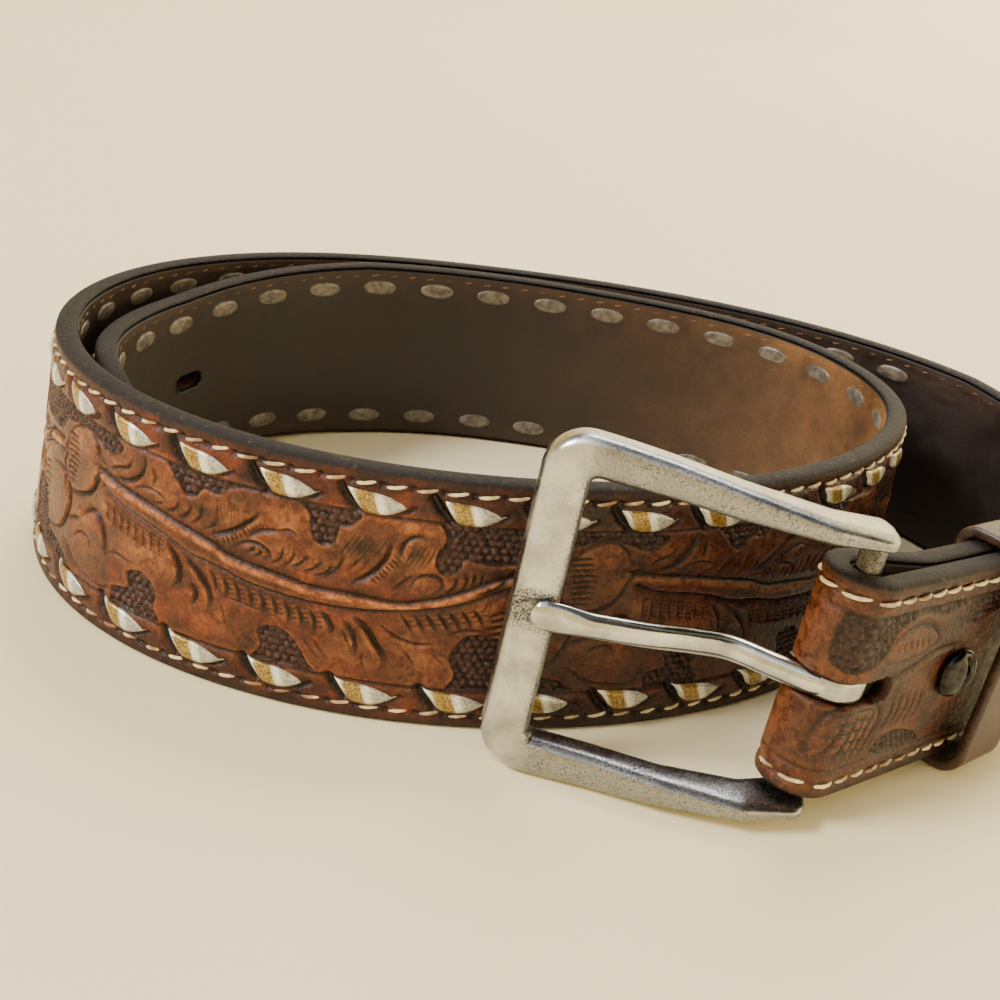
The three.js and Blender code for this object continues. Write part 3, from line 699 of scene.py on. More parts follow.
def swell_forms(sheet):
    """Petals and lobes swell softly with painted highlights on their tops, and the hatched hollows
    between them are dyed.
    """
    for centre, size, height, rub in [
        ((13, 32.5), (4.5, 3), 0.3, 0.9), ((16, 27), (4, 4.5), 0.35, 0.6),
        ((3.5, 18), (5, 5), 0.35, 0.5), ((16.5, 14), (6, 4), 0.35, 0.4),
        ((14, 19.5), (4, 2), 0.25, 0.8), ((20.5, 23.5), (2.5, 2), 0.2, 0.9),
        ((24, 33), (4, 3), 0.25, 0.5), ((33, 31.8), (4, 3.2), 0.3, 0.6),
        ((47, 31.5), (5, 3), 0.35, 0.7), ((56, 33), (5, 3), 0.3, 0.8),
        ((58, 27.5), (5, 2.5), 0.2, 0.6), ((68, 31.5), (5, 4), 0.35, 0.5),
        ((76.5, 31.5), (4.5, 4), 0.35, 0.6), ((79.3, 26), (2.6, 1.7), 0.3, 0.6),
        ((76, 35.3), (5, 1.5), 0.2, 0.9), ((31, 19), (7, 3.5), 0.25, 0.8),
        ((44, 12), (8, 4), 0.25, 0.4), ((68, 11.5), (6, 4), 0.25, 0.5),
        ((80, 12), (6, 5), 0.25, 0.6), ((90, 22.5), (5, 3), 0.25, 0.8),
        ((30, 17), (3, 2), 0.15, 0.6),
    ]:
        pillow(sheet, centre, size, height, rub)
    for centre, size, share in [((68.2, 31), (2.6, 2.4), 0.9), ((77, 31.3), (1.8, 2.3), 0.75),
                                ((42.3, 30.8), (2, 1.6), 0.7), ((14.5, 28.7), (2, 1.5), 0.4)]:
        dark_patch(sheet, centre, size, share)


def stamp_grounds(sheet):
    """Pebbled ground above and below the design."""
    for i, outline in enumerate([
        [(34, 36.7), (36, 34.6), (37.3, 33.3), (38.5, 32.3), (40.3, 32.7), (41.6, 34.4), (44, 34.1),
         (46, 35.6), (47.5, 36.7)],
        [(58.2, 36.7), (59.6, 34.8), (60, 32.2), (61, 30.6), (62.7, 30.2), (64.2, 31.2), (64.6, 33.6),
         (66.3, 34.2), (67.4, 36.7)],
        [(80, 36.7), (81.3, 34.2), (80.2, 32), (80, 29.8), (81.7, 27.9), (84, 29.2), (84.6, 31),
         (88, 30.4), (93, 30.6), (98, 31), (100.5, 33.8), (103, 34.4), (108, 35.2), (112, 34.3),
         (116, 33.4), (116, 36.7)],
        [(24.2, 7.5), (24.4, 10.2), (28, 11.5), (27.4, 14), (30, 15.5), (32.7, 14.8), (34, 12.8),
         (33.8, 10), (34.6, 7.5)],
        [(52.3, 7.5), (53.8, 10), (53, 12.6), (55, 14), (57, 14), (58.8, 13), (60.2, 11.3),
         (61.8, 8.8), (62.3, 7.5)],
        [(84.2, 7.5), (85.4, 10.2), (84.2, 13.5), (86, 17), (88.3, 17.9), (91.5, 17.2), (94.2, 14.5),
         (96, 11), (101, 10.2), (104, 8.8), (104, 7.5)],
    ]):
        pebble_ground(sheet, outline, 11 + i)


def carve_flower(sheet):
    """Two blossoms with pleated hearts."""
    cut_line(sheet, [(21.3, 30.7), (18.7, 28.8), (17.2, 25.5), (15.5, 23.7), (12, 22.2), (7.5, 21.3)],
             0.75, 0.5, 2.2, 1.0, 1)
    cut_line(sheet, [(7.6, 31.5), (10, 34), (14, 35.2), (17, 33.6), (18.2, 31.8), (21.3, 30.7)],
             0.45, 0.3, 1.2, 0.8, 1)
    cut_line(sheet, [(7.6, 31.5), (6.6, 28), (6.8, 24.4), (8, 21.5)], 0.4, 0.35, 1.0, 0.8)
    for k in range(9):
        z = 32.2 - 1.02 * k
        cut_line(sheet, [(7.4 + 0.1 * k, z - 0.2), (10, z), (12.8 - 0.35 * abs(k - 4), z + 0.1)],
                 0.42, 0.26, 0.6, 0.65)
    pillow(sheet, (18, 28.6), (1.1, 1.1), 0.3, 0.9)
    cut_line(sheet, [(0.5, 24), (5, 24.4), (8, 23.4), (9.6, 20), (9.2, 17.2), (7, 13.5), (3.5, 12),
                     (-0.5, 11.8)], 0.5, 0.35, 1.3, 0.8, 1)
    for k in range(8):
        z = 22.6 - 1.25 * k
        cut_line(sheet, [(-4.6, z - 1.2), (-2, z - 0.4), (0.6, z)], 0.4, 0.28, 0.6, 0.65)
    cut_line(sheet, [(9.2, 16.2), (11, 17.2), (14.2, 18.3)], 0.5, 0.35, 0.9, 0.9, -1)
    cut_line(sheet, [(14, 18.6), (16, 20.8), (18.3, 21.3), (20.4, 19.4), (21.6, 16.8), (22.2, 15.4)],
             0.65, 0.42, 1.4, 1.0, 1)
    cut_line(sheet, [(12.5, 14.4), (14.5, 16), (17, 15.8), (17.8, 14)], 0.35, 0.25, 0.7, 0.6)
    cut_line(sheet, [(9.8, 12), (13.6, 9.4), (17.5, 8.6), (21, 8.4), (24, 9.8)], 0.5, 0.32, 1.0, 0.8, -1)
    cut_line(sheet, [(22.2, 15.6), (24.5, 16.4), (28, 16)], 0.3, 0.22, 0.6, 0.6)


def stamp_ladders(sheet):
    """Ladder stamping below the rib's start."""
    for k in range(8):
        x = 21.4 + 1.75 * k
        top = 26.2 - 0.28 * k
        cut_line(sheet, [(x, top - 1.2), (x + 0.35, top - 3), (x + 0.4, top - 4.8)], 0.3, 0.22, 0.5, 0.55)
        for n in range(5):
            z = top - 1.4 - 0.72 * n
            cut_line(sheet, [(x + 0.4, z), (x + 1.2, z - 0.25)], 0.22, 0.18, 0.4, 0.5, swell=False)


def carve_lobes(sheet):
    """Lobes above the rib."""
    cut_line(sheet, [(21.5, 31), (23.5, 31.8), (25.6, 32.6), (26.9, 34.6)], 0.5, 0.35, 1.1, 0.9, -1)
    cut_line(sheet, [(29.6, 36.2), (29.4, 34), (28.2, 31.9), (25.5, 30.2), (22.5, 29.8)],
             0.65, 0.45, 1.5, 1.0, -1)
    cut_line(sheet, [(31.4, 34.6), (32, 33.2), (31.7, 31.8)], 0.4, 0.3, 0.8, 0.8)
    cut_line(sheet, [(27.5, 29.8), (30.2, 30.8), (33.4, 30.6), (35, 29.4)], 0.35, 0.25, 0.8, 0.7)
    cut_fan(sheet, [[(34.6, 28.2), (36.4, 29.2), (37.4, 31)], [(37.2, 28), (38.8, 29), (39.6, 30.8)],
                    [(39.6, 27.8), (41, 29), (41.6, 31.6)], [(42.4, 27.6), (44, 29), (44.6, 31)],
                    [(31.5, 28.6), (33.2, 29), (34, 29.6)]], 0.4, 0.28, 0.75, -1, 0.9)
    cut_line(sheet, [(52, 33.6), (50.2, 31.4), (48, 29.4), (46, 28.1), (43.4, 27)],
             0.75, 0.45, 1.8, 1.0, -1)
    cut_fan(sheet, row_of_cuts((45.5, 27.2), (52.3, 32.2), 11, (0.8, -1), 1.5), 0.25, 0.18, 0.5)
    for k in range(9):
        x = 44.2 + 0.62 * k
        cut_line(sheet, [(x, 33.6 - 0.12 * k), (x + 0.15, 31.6), (x + 0.1, 30 - 0.05 * k)],
                 0.14, 0.16, 0.4, 0.35)
    cut_line(sheet, [(49.6, 28), (51.4, 29.8), (54.4, 30.8), (56, 30.6)], 0.5, 0.32, 1.0, 0.9, 1)
    cut_line(sheet, [(48, 26.6), (50.4, 27.8), (52.8, 27.5), (53.9, 26.4), (53, 25.2)],
             0.45, 0.3, 0.9, 0.9)
    cut_fan(sheet, [[(50, 26), (51, 26.6), (51.3, 27.4)], [(51.3, 25.5), (52.2, 26.1), (52.5, 27)],
                    [(54.4, 25), (55.7, 26.4), (56, 28.4)], [(56.3, 25), (57.6, 26.6), (58, 28.6)]],
            0.35, 0.24, 0.7)
    cut_fan(sheet, [[(57.6, 25.4), (59, 26.2), (60.3, 28)], [(59.4, 24.8), (61.2, 25.8), (62.6, 27.6)],
                    [(61.2, 24.6), (63.2, 25.4), (64.2, 27.2)], [(62.7, 24.2), (65, 26.8), (65.7, 29.6)],
                    [(54.6, 30.6), (56.4, 31.4), (58, 30.9)]], 0.42, 0.28, 0.75, -1, 0.9)
    for k in range(7):
        x = 64.8 + 0.85 * k
        cut_line(sheet, [(x, 28.8), (x + 1.5, 31.4), (x + 2.6, 33.6)], 0.25, 0.2, 0.5, 0.6)
    cut_fan(sheet, [[(66.4, 26.4), (67.6, 28), (68.6, 29.4)], [(67.8, 26.2), (69, 27.6), (70, 29.4)]],
            0.35, 0.25, 0.6)
    cut_line(sheet, [(72.9, 32.6), (72.3, 29.8), (71, 27.5), (69.6, 26), (67, 24.4)],
             0.8, 0.48, 2.0, 1.0, -1)
    cut_fan(sheet, row_of_cuts((70.2, 26), (74, 31), 9, (1, -0.7), 1.5), 0.3, 0.2, 0.55)
    cut_line(sheet, [(74.3, 29.8), (74.8, 32.5), (76.3, 33.9), (78.4, 34.2)], 0.55, 0.35, 1.1, 0.95, 1)
    for k in range(5):
        x = 75.1 + 0.8 * k
        cut_line(sheet, [(x, 28.8), (x + 0.9, 30.6), (x + 1.6, 32.6)], 0.25, 0.2, 0.5, 0.55)
    cut_line(sheet, [(76.6, 25), (77.2, 26.8), (79, 27.7), (81, 27.4), (81.6, 25.8), (80, 24.4)],
             0.4, 0.28, 0.8, 0.8)
    cut_line(sheet, [(74, 24.5), (75.3, 26), (77, 27.5)], 0.4, 0.26, 0.8, 0.8, -1)
    cut_fan(sheet, [[(82.2, 24.6), (83.6, 26), (83.8, 27.6)], [(84, 24.6), (85.4, 26.6), (85, 28.8)],
                    [(86.2, 26), (86.6, 27.6), (86.4, 28.8)], [(87.3, 26.2), (87.8, 27.6), (87.6, 29)]],
            0.42, 0.28, 0.8, -1, 0.9)
    cut_line(sheet, [(86.8, 24.9), (90, 26.2), (92, 28.4), (93.4, 30.2)], 0.55, 0.35, 1.2, 0.95, -1)
    cut_fan(sheet, row_of_cuts((88.6, 22), (92.6, 25.4), 6, (0.4, 1), 2.6), 0.22, 0.18, 0.5)


def carve_fringes(sheet):
    """Fringes below the rib."""
    for points, thick in [
        ([(35.3, 23), (37.3, 20.5), (38.2, 18.5), (38.3, 16.6), (37.5, 15.6)], 1.25),
        ([(39, 21.9), (41.7, 19.5), (43.7, 17.2), (44.5, 15.2), (44.2, 13.4)], 1.1),
        ([(40.7, 17.3), (41.7, 15.4), (41.2, 13.2)], 0.9),
        ([(63, 18.6), (64.3, 17.2), (65.2, 15.5), (65, 14.6)], 1.1),
        ([(66.8, 17.9), (68.3, 15.8), (69.2, 13.5), (69.3, 11.7)], 0.9),
        ([(68.2, 18.7), (70.7, 16.5), (72.3, 14.2), (73.7, 12.5), (74.3, 10.6)], 1.35),
    ]:
        cut_line(sheet, points, 0.6 * thick, 0.38 * thick, 1.4, 1.0, 1)
    for k in range(9):
        x, z = 44 + 2.15 * k, 20.8 - 0.28 * k
        cut_line(sheet, [(x, z), (x + 0.9, z - 1.8), (x + 1.3, z - 3.8)], 0.42, 0.28, 0.8, 0.8, 1)
        for n in range(4):
            nick = [(x + 0.6 + 0.25 * n, z - 0.6 - 0.8 * n), (x + 1.7 + 0.2 * n, z - 0.3 - 0.8 * n)]
            cut_line(sheet, nick, 0.2, 0.17, 0.4, 0.4, swell=False)
    for k in range(7):
        x, z = 75.6 + 1.9 * k, 20.4 + 0.35 * k
        cut_line(sheet, [(x, z), (x + 1.1, z - 1.5), (x + 2.3, z - 3.1)], 0.45, 0.28, 0.8, 0.8, 1)
        for n in range(3):
            nick = [(x + 0.8 + 0.5 * n, z - 0.6 - 0.8 * n), (x + 1.8 + 0.5 * n, z - 0.2 - 0.8 * n)]
            cut_line(sheet, nick, 0.2, 0.17, 0.4, 0.4, swell=False)
    cut_line(sheet, [(45.3, 18), (47.5, 17), (50.7, 16.6), (56, 16)], 0.25, 0.2, 0.6, 0.5)
    cut_line(sheet, [(72.3, 18.2), (75.3, 16.2), (78.7, 15.3), (81.7, 15.8)], 0.4, 0.26, 0.9, 0.8)
    cut_fan(sheet, [[(62, 13.8), (63.4, 12), (65, 10.4)], [(60.6, 13.4), (62, 11.5), (63.4, 10)],
                    [(66.6, 16), (67.6, 14.4), (68.4, 13)], [(81, 15.2), (82.2, 13.2), (84, 11.8)],
                    [(76.4, 14.2), (78, 12.6), (79.2, 10.6)], [(46.4, 15.6), (47.2, 13.4), (48.2, 11)],
                    [(24, 17), (27, 16.4), (30, 16.6)], [(70.4, 12.6), (70.4, 11), (71, 9.4)]],
            0.2, 0.2, 0.45)
    cut_line(sheet, [(83.4, 17.4), (85.6, 18.4), (88, 18.6), (91, 18.2)], 0.3, 0.22, 0.6, 0.6)


def carve_rib(sheet):
    """The rib, with a raised crest painted lighter as a highlight."""
    cut_line(sheet, MIDRIB_UPPER, 0.5, 0.3, 1.2, 0.85, 1, swell=False)
    cut_line(sheet, MIDRIB_LOWER, 0.5, 0.3, 1.2, 0.85, -1, swell=False)
    crest = smooth_line([(x, z - 0.9) for x, z in MIDRIB_UPPER])
    for part, shift in sheet.window(crest[:, 0].min(), crest[:, 0].max(), 17, 31):
        x, z = sheet.x[part] - shift, sheet.z[part]
        distance, _, _ = near_line(x, z, crest)
        ridge = bell(distance, 0.5)
        sheet.relief[part] += 0.34 * ridge
        sheet.rub[part] = np.maximum(sheet.rub[part], 0.75 * ridge)

def draw_pattern():
    """One repeat of the carving. The soft forms come first, so that the cuts bite into them."""
    sheet = Sheet(FLOWER_PITCH, STRAP_WIDTH, True)
    swell_forms(sheet)
    stamp_grounds(sheet)
    carve_flower(sheet)
    stamp_ladders(sheet)
    carve_lobes(sheet)
    carve_fringes(sheet)
    carve_rib(sheet)
    border_line(sheet, BORDER_LOW, 0.4, 0.75)
    border_line(sheet, BORDER_HIGH, 0.4, 0.75)
    border = (sheet.z < BORDER_LOW) | (sheet.z > BORDER_HIGH)
    sheet.rub *= np.where(border, 0.2, 1)
    antique(sheet)
    return sheet


LACE_END = 762.0
LACE_REACH = 8.0
PAINTED_SHADOW_BEHIND_BUCKLE = 250, 310, 376, 398  # where a painted shadow darkens the strap, as a stretch


def lace_rows(along, height, width):
    """Where a point lies from the middle of the nearest lace of each row: towards the buckle, and up."""
    for side, shift in ((1, 0), (-1, LOWER_ROW_SHIFT)):
        row = side * (width / 2 - LACE_FROM_EDGE)
        k = (along - FIRST_OUTER_LACE - shift) / LACE_PITCH
        yield (k - np.round(k)) * LACE_PITCH, height - row


LACE_DIP = np.array([[6.1, 1.7], [4.9, -0.1], [3.2, -1.7]])
LACE_TUCK = np.array([[-5.7, -0.3], [-4.4, -1.1], [-3.0, -1.6]])


def tooled_relief(sheet, along, height, width):
    """Relief and dye of the tooled face, with the hollows at the laces and the stitches' groove. The
    laces' hollows and the stitch holes are painted dark as shade, and a shadow is painted behind the
    buckle.
    """
    x = PATTERN_START - along
    z = height + STRAP_WIDTH / 2
    relief, cut, ground, rub, shade = sheet.read_all(x, z)
    laced = (along > FIRST_OUTER_LACE - LACE_REACH) & (along < LACE_END)
    for dx, up in lace_rows(along, height, width):
        dip = bell(near_line(dx, up, LACE_DIP)[0], 0.8) * laced
        tuck = 0.6 * bell(near_line(dx, up, LACE_TUCK)[0], 0.45) * laced
        hollow = np.maximum(dip, tuck)
        relief = relief + 0.25 * np.exp(-((dx / 6) ** 2 + (up / 2.8) ** 2)) * laced - 1.2 * hollow
        # The hollows where each lace goes in are painted dark: painted shade
        cut = np.maximum(cut, np.clip(hollow * 1.5 - 0.15, 0, 1))
    seam = width / 2 - STITCH_FROM_EDGE - np.abs(height)
    relief = relief - 0.32 * bell(seam, 0.55)
    # The stitch holes are painted dark: painted shade in the holes
    k = (along - FIRST_STITCH - STITCH_LENGTH) / STITCH_PITCH - 0.1
    hole = np.exp(-((((k - np.round(k)) * STITCH_PITCH) ** 2 + seam**2) / 0.3)) * (along < CHAPE_START)
    relief = relief - 0.5 * hole
    cut = np.maximum(cut, np.maximum(0.3 * bell(seam, 0.5), 0.95 * hole))
    # A painted shadow darkens the strap behind the buckle
    shade = np.maximum(shade, 0.5 * stretch(along, *PAINTED_SHADOW_BEHIND_BUCKLE))
    return relief, cut, ground, rub, shade


# The buckle end: its own carving, drawn with x from the fold's front back along the strap
CHAPE_LENGTH = 62.0
FOLD_FRONT = BELT_LENGTH + 6.0
BUCKLE_END_SHADE = 0.6
BORDER_FROM_EDGE = 5.6, 5.4


def draw_buckle_end():
    """An acorn between pebbled grounds, a hatched leaf and a few bold cuts."""
    sheet = Sheet(CHAPE_LENGTH, CHAPE_WIDTH, False)
    for centre, size, height, rub in [((14, 27), (7, 2.6), 0.35, 0.9), ((8, 12), (5, 4.5), 0.35, 0.5),
                                      ((22, 18), (8, 5), 0.25, 0.5), ((20, 9), (6, 3), 0.2, 0.7),
                                      ((36, 18), (9, 8), 0.3, 0.5), ((3, 22), (4, 3), 0.2, 0.8)]:
        pillow(sheet, centre, size, height, rub)
    for i, outline in enumerate([
        [(0.5, 33), (0.5, 25), (4, 23.5), (8, 26), (10, 30.5), (16, 32.2), (22, 31), (26, 33)],
        [(14, 5.8), (15, 9), (20, 10), (26, 8), (27, 5.8)],
        [(28, 33), (30, 28), (36, 29), (44, 33)],
    ]):
        pebble_ground(sheet, outline, 31 + i)
    cut_line(sheet, [(8, 26), (11, 29), (16, 30), (21, 28.5), (22, 26), (16, 24), (10, 24.2), (8, 26)],
             0.5, 0.34, 1.1, 0.9, 1)
    cut_fan(sheet, row_of_cuts((11, 27.8), (19, 28), 6, (0.4, -1), 2.6), 0.25, 0.2, 0.5)
    for k in range(5):
        cut_line(sheet, [(2.6 + 2 * k, 7), (4.4 + 2 * k, 11.5), (5 + 2 * k, 16)], 0.4, 0.26, 0.7, 0.8)
        cut_line(sheet, [(2.6, 8 + 1.9 * k), (7.5, 8.6 + 1.9 * k), (12.5, 8 + 1.9 * k)],
                 0.4, 0.26, 0.7, 0.8)
    cut_line(sheet, [(1.6, 7), (1.4, 12), (3, 16.4), (8, 17.6), (12.6, 15.6), (13.6, 11), (13, 7)],
             0.55, 0.35, 1.1, 0.9, 1)
    for k in range(5):
        x = 15.4 + 2 * k
        cut_line(sheet, [(x, 17.5), (x + 0.8, 14), (x - 0.6, 10.5)], 0.5, 0.38, 0.9, 0.9, 1)
    cut_line(sheet, [(1, 20), (8, 19.6), (16, 21.5), (24, 24), (32, 24.4)], 0.45, 0.3, 1.0, 0.8, 1)
    cut_line(sheet, [(25, 9), (29, 13), (30, 18), (27.5, 22)], 0.55, 0.36, 1.3, 0.9, -1)
    border_line(sheet, BORDER_FROM_EDGE[0], 0.35, 0.7)
    border_line(sheet, CHAPE_WIDTH - BORDER_FROM_EDGE[1], 0.35, 0.7)
    antique(sheet)
    sheet.shade = np.maximum(sheet.shade, BUCKLE_END_SHADE)
    return sheet


def buckle_end_relief(sheet, along, height, width):
    """Relief and dye of the buckle end, which is plain where it folds out of sight."""
    x = np.clip(FOLD_FRONT - along, 0, CHAPE_LENGTH - 0.2)
    z = height + CHAPE_WIDTH / 2
    shown = smooth_step((FOLD_FRONT + 6 - along) / 6)
    relief, cut, ground, rub, shade = [layer * shown for layer in sheet.read_all(x, z)]
    seam = width / 2 - CHAPE_STITCH_FROM_EDGE - np.abs(height)
    relief = relief - 0.35 * bell(seam, 0.6)
    cut = np.maximum(cut, 0.3 * bell(seam, 0.5))
    folded = bell(along - BELT_LENGTH - FOLD_LENGTH / 2, 8)
    rub = np.maximum(rub, 0.45 * folded)
    return relief, cut, ground, rub, shade


# The strap's skin
EDGE_ROUND = 1.0
EDGE_POINTS = 9


def strap_rings(along, columns, back_every, outer, inner, edge_inner, inset, rounding, relief):
    """Rings round one ply: columns up its outer face, a rounded edge, its back, and the other edge.
    The edge is rounded from the outer face to edge_inner, which may lie past the back."""
    half = half_width(along) - inset
    width = read_strap("width", along)
    flat = np.maximum(half - rounding, 0.05)
    share = np.linspace(-1, 1, columns)
    height = flat[:, None] * share
    grid_along = np.repeat(along[:, None], columns, 1)
    layers = relief(grid_along, height, np.repeat(width[:, None], columns, 1))
    raise_by = layers[0] * smooth_step((1 - np.abs(share)) * 12)
    front = on_strap(grid_along, height, outer + raise_by)
    turn = np.linspace(0, math.pi, EDGE_POINTS + 2)[1:-1]
    middle, reach = (outer + edge_inner) / 2, (outer - edge_inner) / 2
    bulge = np.sin(turn) ** 0.7
    level = middle + reach * signed_power(np.cos(turn), 0.8)
    edge_out = np.repeat(level[None], len(along), 0)
    edge_at = flat[:, None] + np.minimum(rounding, half)[:, None] * bulge
    edge_along = np.repeat(along[:, None], EDGE_POINTS, 1)
    upper = on_strap(edge_along, edge_at, edge_out)
    lower = on_strap(edge_along, -edge_at, edge_out)[:, ::-1]
    picked = np.arange(columns)[::-back_every][::-1]
    picked = np.unique(np.concatenate([[0], picked, [columns - 1]]))[::-1]
    back = on_strap(grid_along[:, picked], height[:, picked], inner)
    points = np.concatenate([front, upper, back, lower], 1)
    return points, layers, len(picked), share


LINING_INSET = EDGE_ROUND + 0.03
TIP_HOLE = ((HOLE_FROM_TIP - HOLE_LENGTH / 2, HOLE_FROM_TIP + HOLE_LENGTH / 2), HOLE_HEIGHT / 2)
PRONG_SLOT = ((BELT_LENGTH - SLOT_BEHIND, BELT_LENGTH + FOLD_LENGTH + SLOT_BEHIND), SLOT_HALF)


def strap_piece(name, start, end, step, columns, relief, holes=()):
    """A length of the tooled ply. Where it has holes its back has as many columns as its face."""
    count = int(round((end - start) / step))
    along = np.linspace(start, end, count + 1)
    back_every = 1 if holes else 6
    points, layers, backs, share = strap_rings(along, columns, back_every, OUTER_FACE, TOOLED_BACK,
                                               LINING_FACE + 0.1, 0, EDGE_ROUND, relief)
    rows, around = points.shape[:2]
    faces = grid_faces(rows, around, True)
    height = (half_width(along) - EDGE_ROUND)[:, None] * share
    if holes:
        faces = cut_open(faces, cells_in_holes(along, height, holes), rows, columns, around)
    _, cut, ground, rub, shade = layers
    near_edge = smooth_step((np.abs(share) - 0.93) / 0.06) * np.ones((rows, 1))

    def all_round(face, elsewhere=0.0):
        edge, back = (np.full((rows, n), elsewhere) for n in (EDGE_POINTS, backs))
        return np.concatenate([face, edge, back, edge], 1)

    tooling = np.stack([all_round(cut), all_round(ground), all_round(0.45 * near_edge, 1.0)], -1)
    wear_and_painted_light = np.stack([all_round(rub), all_round(shade), all_round(0 * rub)], -1)
    return new_mesh(name, points, faces,
                    {"tooling": tooling.reshape(-1, 3), "wear_and_painted_light": wear_and_painted_light.reshape(-1, 3)})


def cells_in_holes(along, height, holes):
    """The cells of a grid whose middles lie in one of the holes, which have round ends."""
    found = np.zeros((height.shape[0] - 1, height.shape[1] - 1), bool)
    mid_along = (along[:-1] + along[1:])[:, None] / 2
    mid_height = (height[:-1, :-1] + height[1:, 1:]) / 2
    for (low, high), tall in holes:
        past = np.maximum(low + tall - mid_along, mid_along - high + tall).clip(0)
        found |= np.hypot(past, mid_height) < tall
    return found


def cut_open(faces, open_cells, rows, columns, around):
    """Takes the open cells out of the face and the back and walls the hole's sides."""
    cells = faces.reshape(rows - 1, around, 4)
    keep = np.ones((rows - 1, around), bool)
    keep[:, :columns - 1] &= ~open_cells
    back_start = columns + EDGE_POINTS
    keep[:, back_start:back_start + columns - 1] &= ~open_cells[:, ::-1]
    kept = cells[keep]
    padded = np.pad(open_cells, 1)

    def front(r, c):
        return r * around + c

    def behind(r, c):
        return r * around + back_start + (columns - 1 - c)

    walls = []
    for r, c in zip(*np.nonzero(open_cells)):
        for dr, dc, first, second in ((-1, 0, (r, c), (r, c + 1)), (1, 0, (r + 1, c + 1), (r + 1, c)),
                                      (0, -1, (r + 1, c), (r, c)), (0, 1, (r, c + 1), (r + 1, c + 1))):
            if not padded[r + 1 + dr, c + 1 + dc]:
                walls.append([front(*first), front(*second), behind(*second), behind(*first)])
    return np.concatenate([kept, np.array(walls)[:, ::-1]]) if walls else kept


def build_tooled_strap(material):
    main = partial(tooled_relief, draw_pattern())
    end = partial(buckle_end_relief, draw_buckle_end())
    for name, start, finish, step, columns, relief, holes in [
        ("strap_tip", 0.6, 90, 0.7, 65, main, [TIP_HOLE]),
        ("strap_inner_run", 90, 306, 1.0, 65, main, []),
        ("strap_front_right", 306, 404, 0.25, 177, main, []),
        ("strap_front_left", 404, 504, 0.25, 177, main, []),
        ("strap_left_turn", 504, 640, 0.7, 65, main, []),
        ("strap_outer_run", 640, 838, 0.7, 65, main, []),
        ("strap_buckle_end", 838, WHOLE_LENGTH - 52, 0.32, 105, end, [PRONG_SLOT]),
        ("strap_flap", WHOLE_LENGTH - 52, WHOLE_LENGTH, 0.9, 57, end, []),
    ]:
        piece = strap_piece(name, start, finish, step, columns, relief, holes)
        finish_piece(piece, "strap", "leather_tooled", material, "strap_tooled")


# The lining, with the leather drawn in round each lace's back
FIRST_INNER_LACE = 31.42
INNER_LACE_LENGTH = 8.4
INNER_LACE_HEIGHT = 3.5
LINING_COLUMNS = 57
LINING_ROUND = 0.3
LIT_RUN = 130, 280, 360, 420  # where the light falls on the lining, painted lighter, as a stretch


def lining_relief(along, height, width):
    """The lining's relief, and how much it puckers round the laces' backs."""
    row = width / 2 - LACE_FROM_EDGE
    k = (along - FIRST_INNER_LACE) / LACE_PITCH
    dx = (k - np.round(k)) * LACE_PITCH
    up = np.abs(height) - row
    laced = (along > FIRST_INNER_LACE - LACE_REACH) & (along < LACE_END - LACE_REACH)
    around = np.hypot(dx / INNER_LACE_LENGTH, up / INNER_LACE_HEIGHT) * 2
    pucker = 0.3 * bell(around - 1.35, 0.35) * laced
    seam = width / 2 - STITCH_FROM_EDGE - np.abs(height)
    relief = 0.22 * bell(around - 0.9, 0.3) * laced + 0.18 * bell(seam, 0.5)
    return relief - pucker * 0.3, pucker


def build_lining(material):
    """The lining in four lengths. Those with a hole have as many columns behind as in front."""
    for name, start, finish, step, holes in [
        ("lining_tip", 1.4, 92, 1.0, [TIP_HOLE]),
        ("lining_inner", 92, 440, 1.5, []),
        ("lining_outer", 440, 850, 1.7, []),
        ("lining_buckle_end", 850, WHOLE_LENGTH - 0.4, 1.0, [PRONG_SLOT]),
    ]:
        along = np.linspace(start, finish, int((finish - start) / step) + 1)
        worn = {}

        def worn_face(a, height, width):
            worn["relief"], worn["pucker"] = lining_relief(a, height, width)
            worn["across"] = np.abs(height) / (width / 2)
            return (-worn["relief"],)

        # The worn face is drawn as the front of the ring, turned inwards
        points, _, backs, share = strap_rings(along, LINING_COLUMNS, 1 if holes else 8, LINING_FACE,
                                              LINING_BACK, LINING_BACK, LINING_INSET,
                                              LINING_ROUND, worn_face)
        rows, around = points.shape[:2]
        faces = grid_faces(rows, around, True)
        height = (half_width(along) - LINING_INSET - LINING_ROUND)[:, None] * share
        if holes:
            faces = cut_open(faces, cells_in_holes(along, height, holes), rows, LINING_COLUMNS, around)
        mask = np.zeros((rows, around, 3))
        front = slice(0, LINING_COLUMNS)
        # The run that the light falls on is painted tan, most towards the edges, and the rest is painted
        # dark: painted light and shade
        lit = stretch(along, *LIT_RUN)[:, None]
        rim = smooth_step((worn["across"] - 0.55) / 0.35) * (0.35 + 0.65 * lit)
        mask[:, front, 0] = (1 - lit) * (1 - 0.5 * rim)
        mask[:, front, 1] = (lit * (0.55 + 0.45 * rim) + 0.25 * rim - 0.8 * worn["pucker"]).clip(0, 1)
        mask[:, front, 2] = smooth_step((worn["across"] - 0.93) / 0.05) * 0.8
        mask[:, LINING_COLUMNS:, 2] = 1
        piece = new_mesh(name, points, faces[:, ::-1], {"lining": mask.reshape(-1, 3)})
        finish_piece(piece, "strap", "leather_lining", material, "strap_lining")


def join_rings(all_points, rings, around):
    """Faces of many tubes laid one after another, each with closed ends."""
    tubes = len(all_points) // (rings * around)
    side = grid_faces(rings, around, True)
    caps = end_caps(rings, around)[:, ::-1]
    shift = (np.arange(tubes) * rings * around)[:, None, None]
    return [(side + shift).reshape(-1, 4), (caps + shift).reshape(-1, around)]


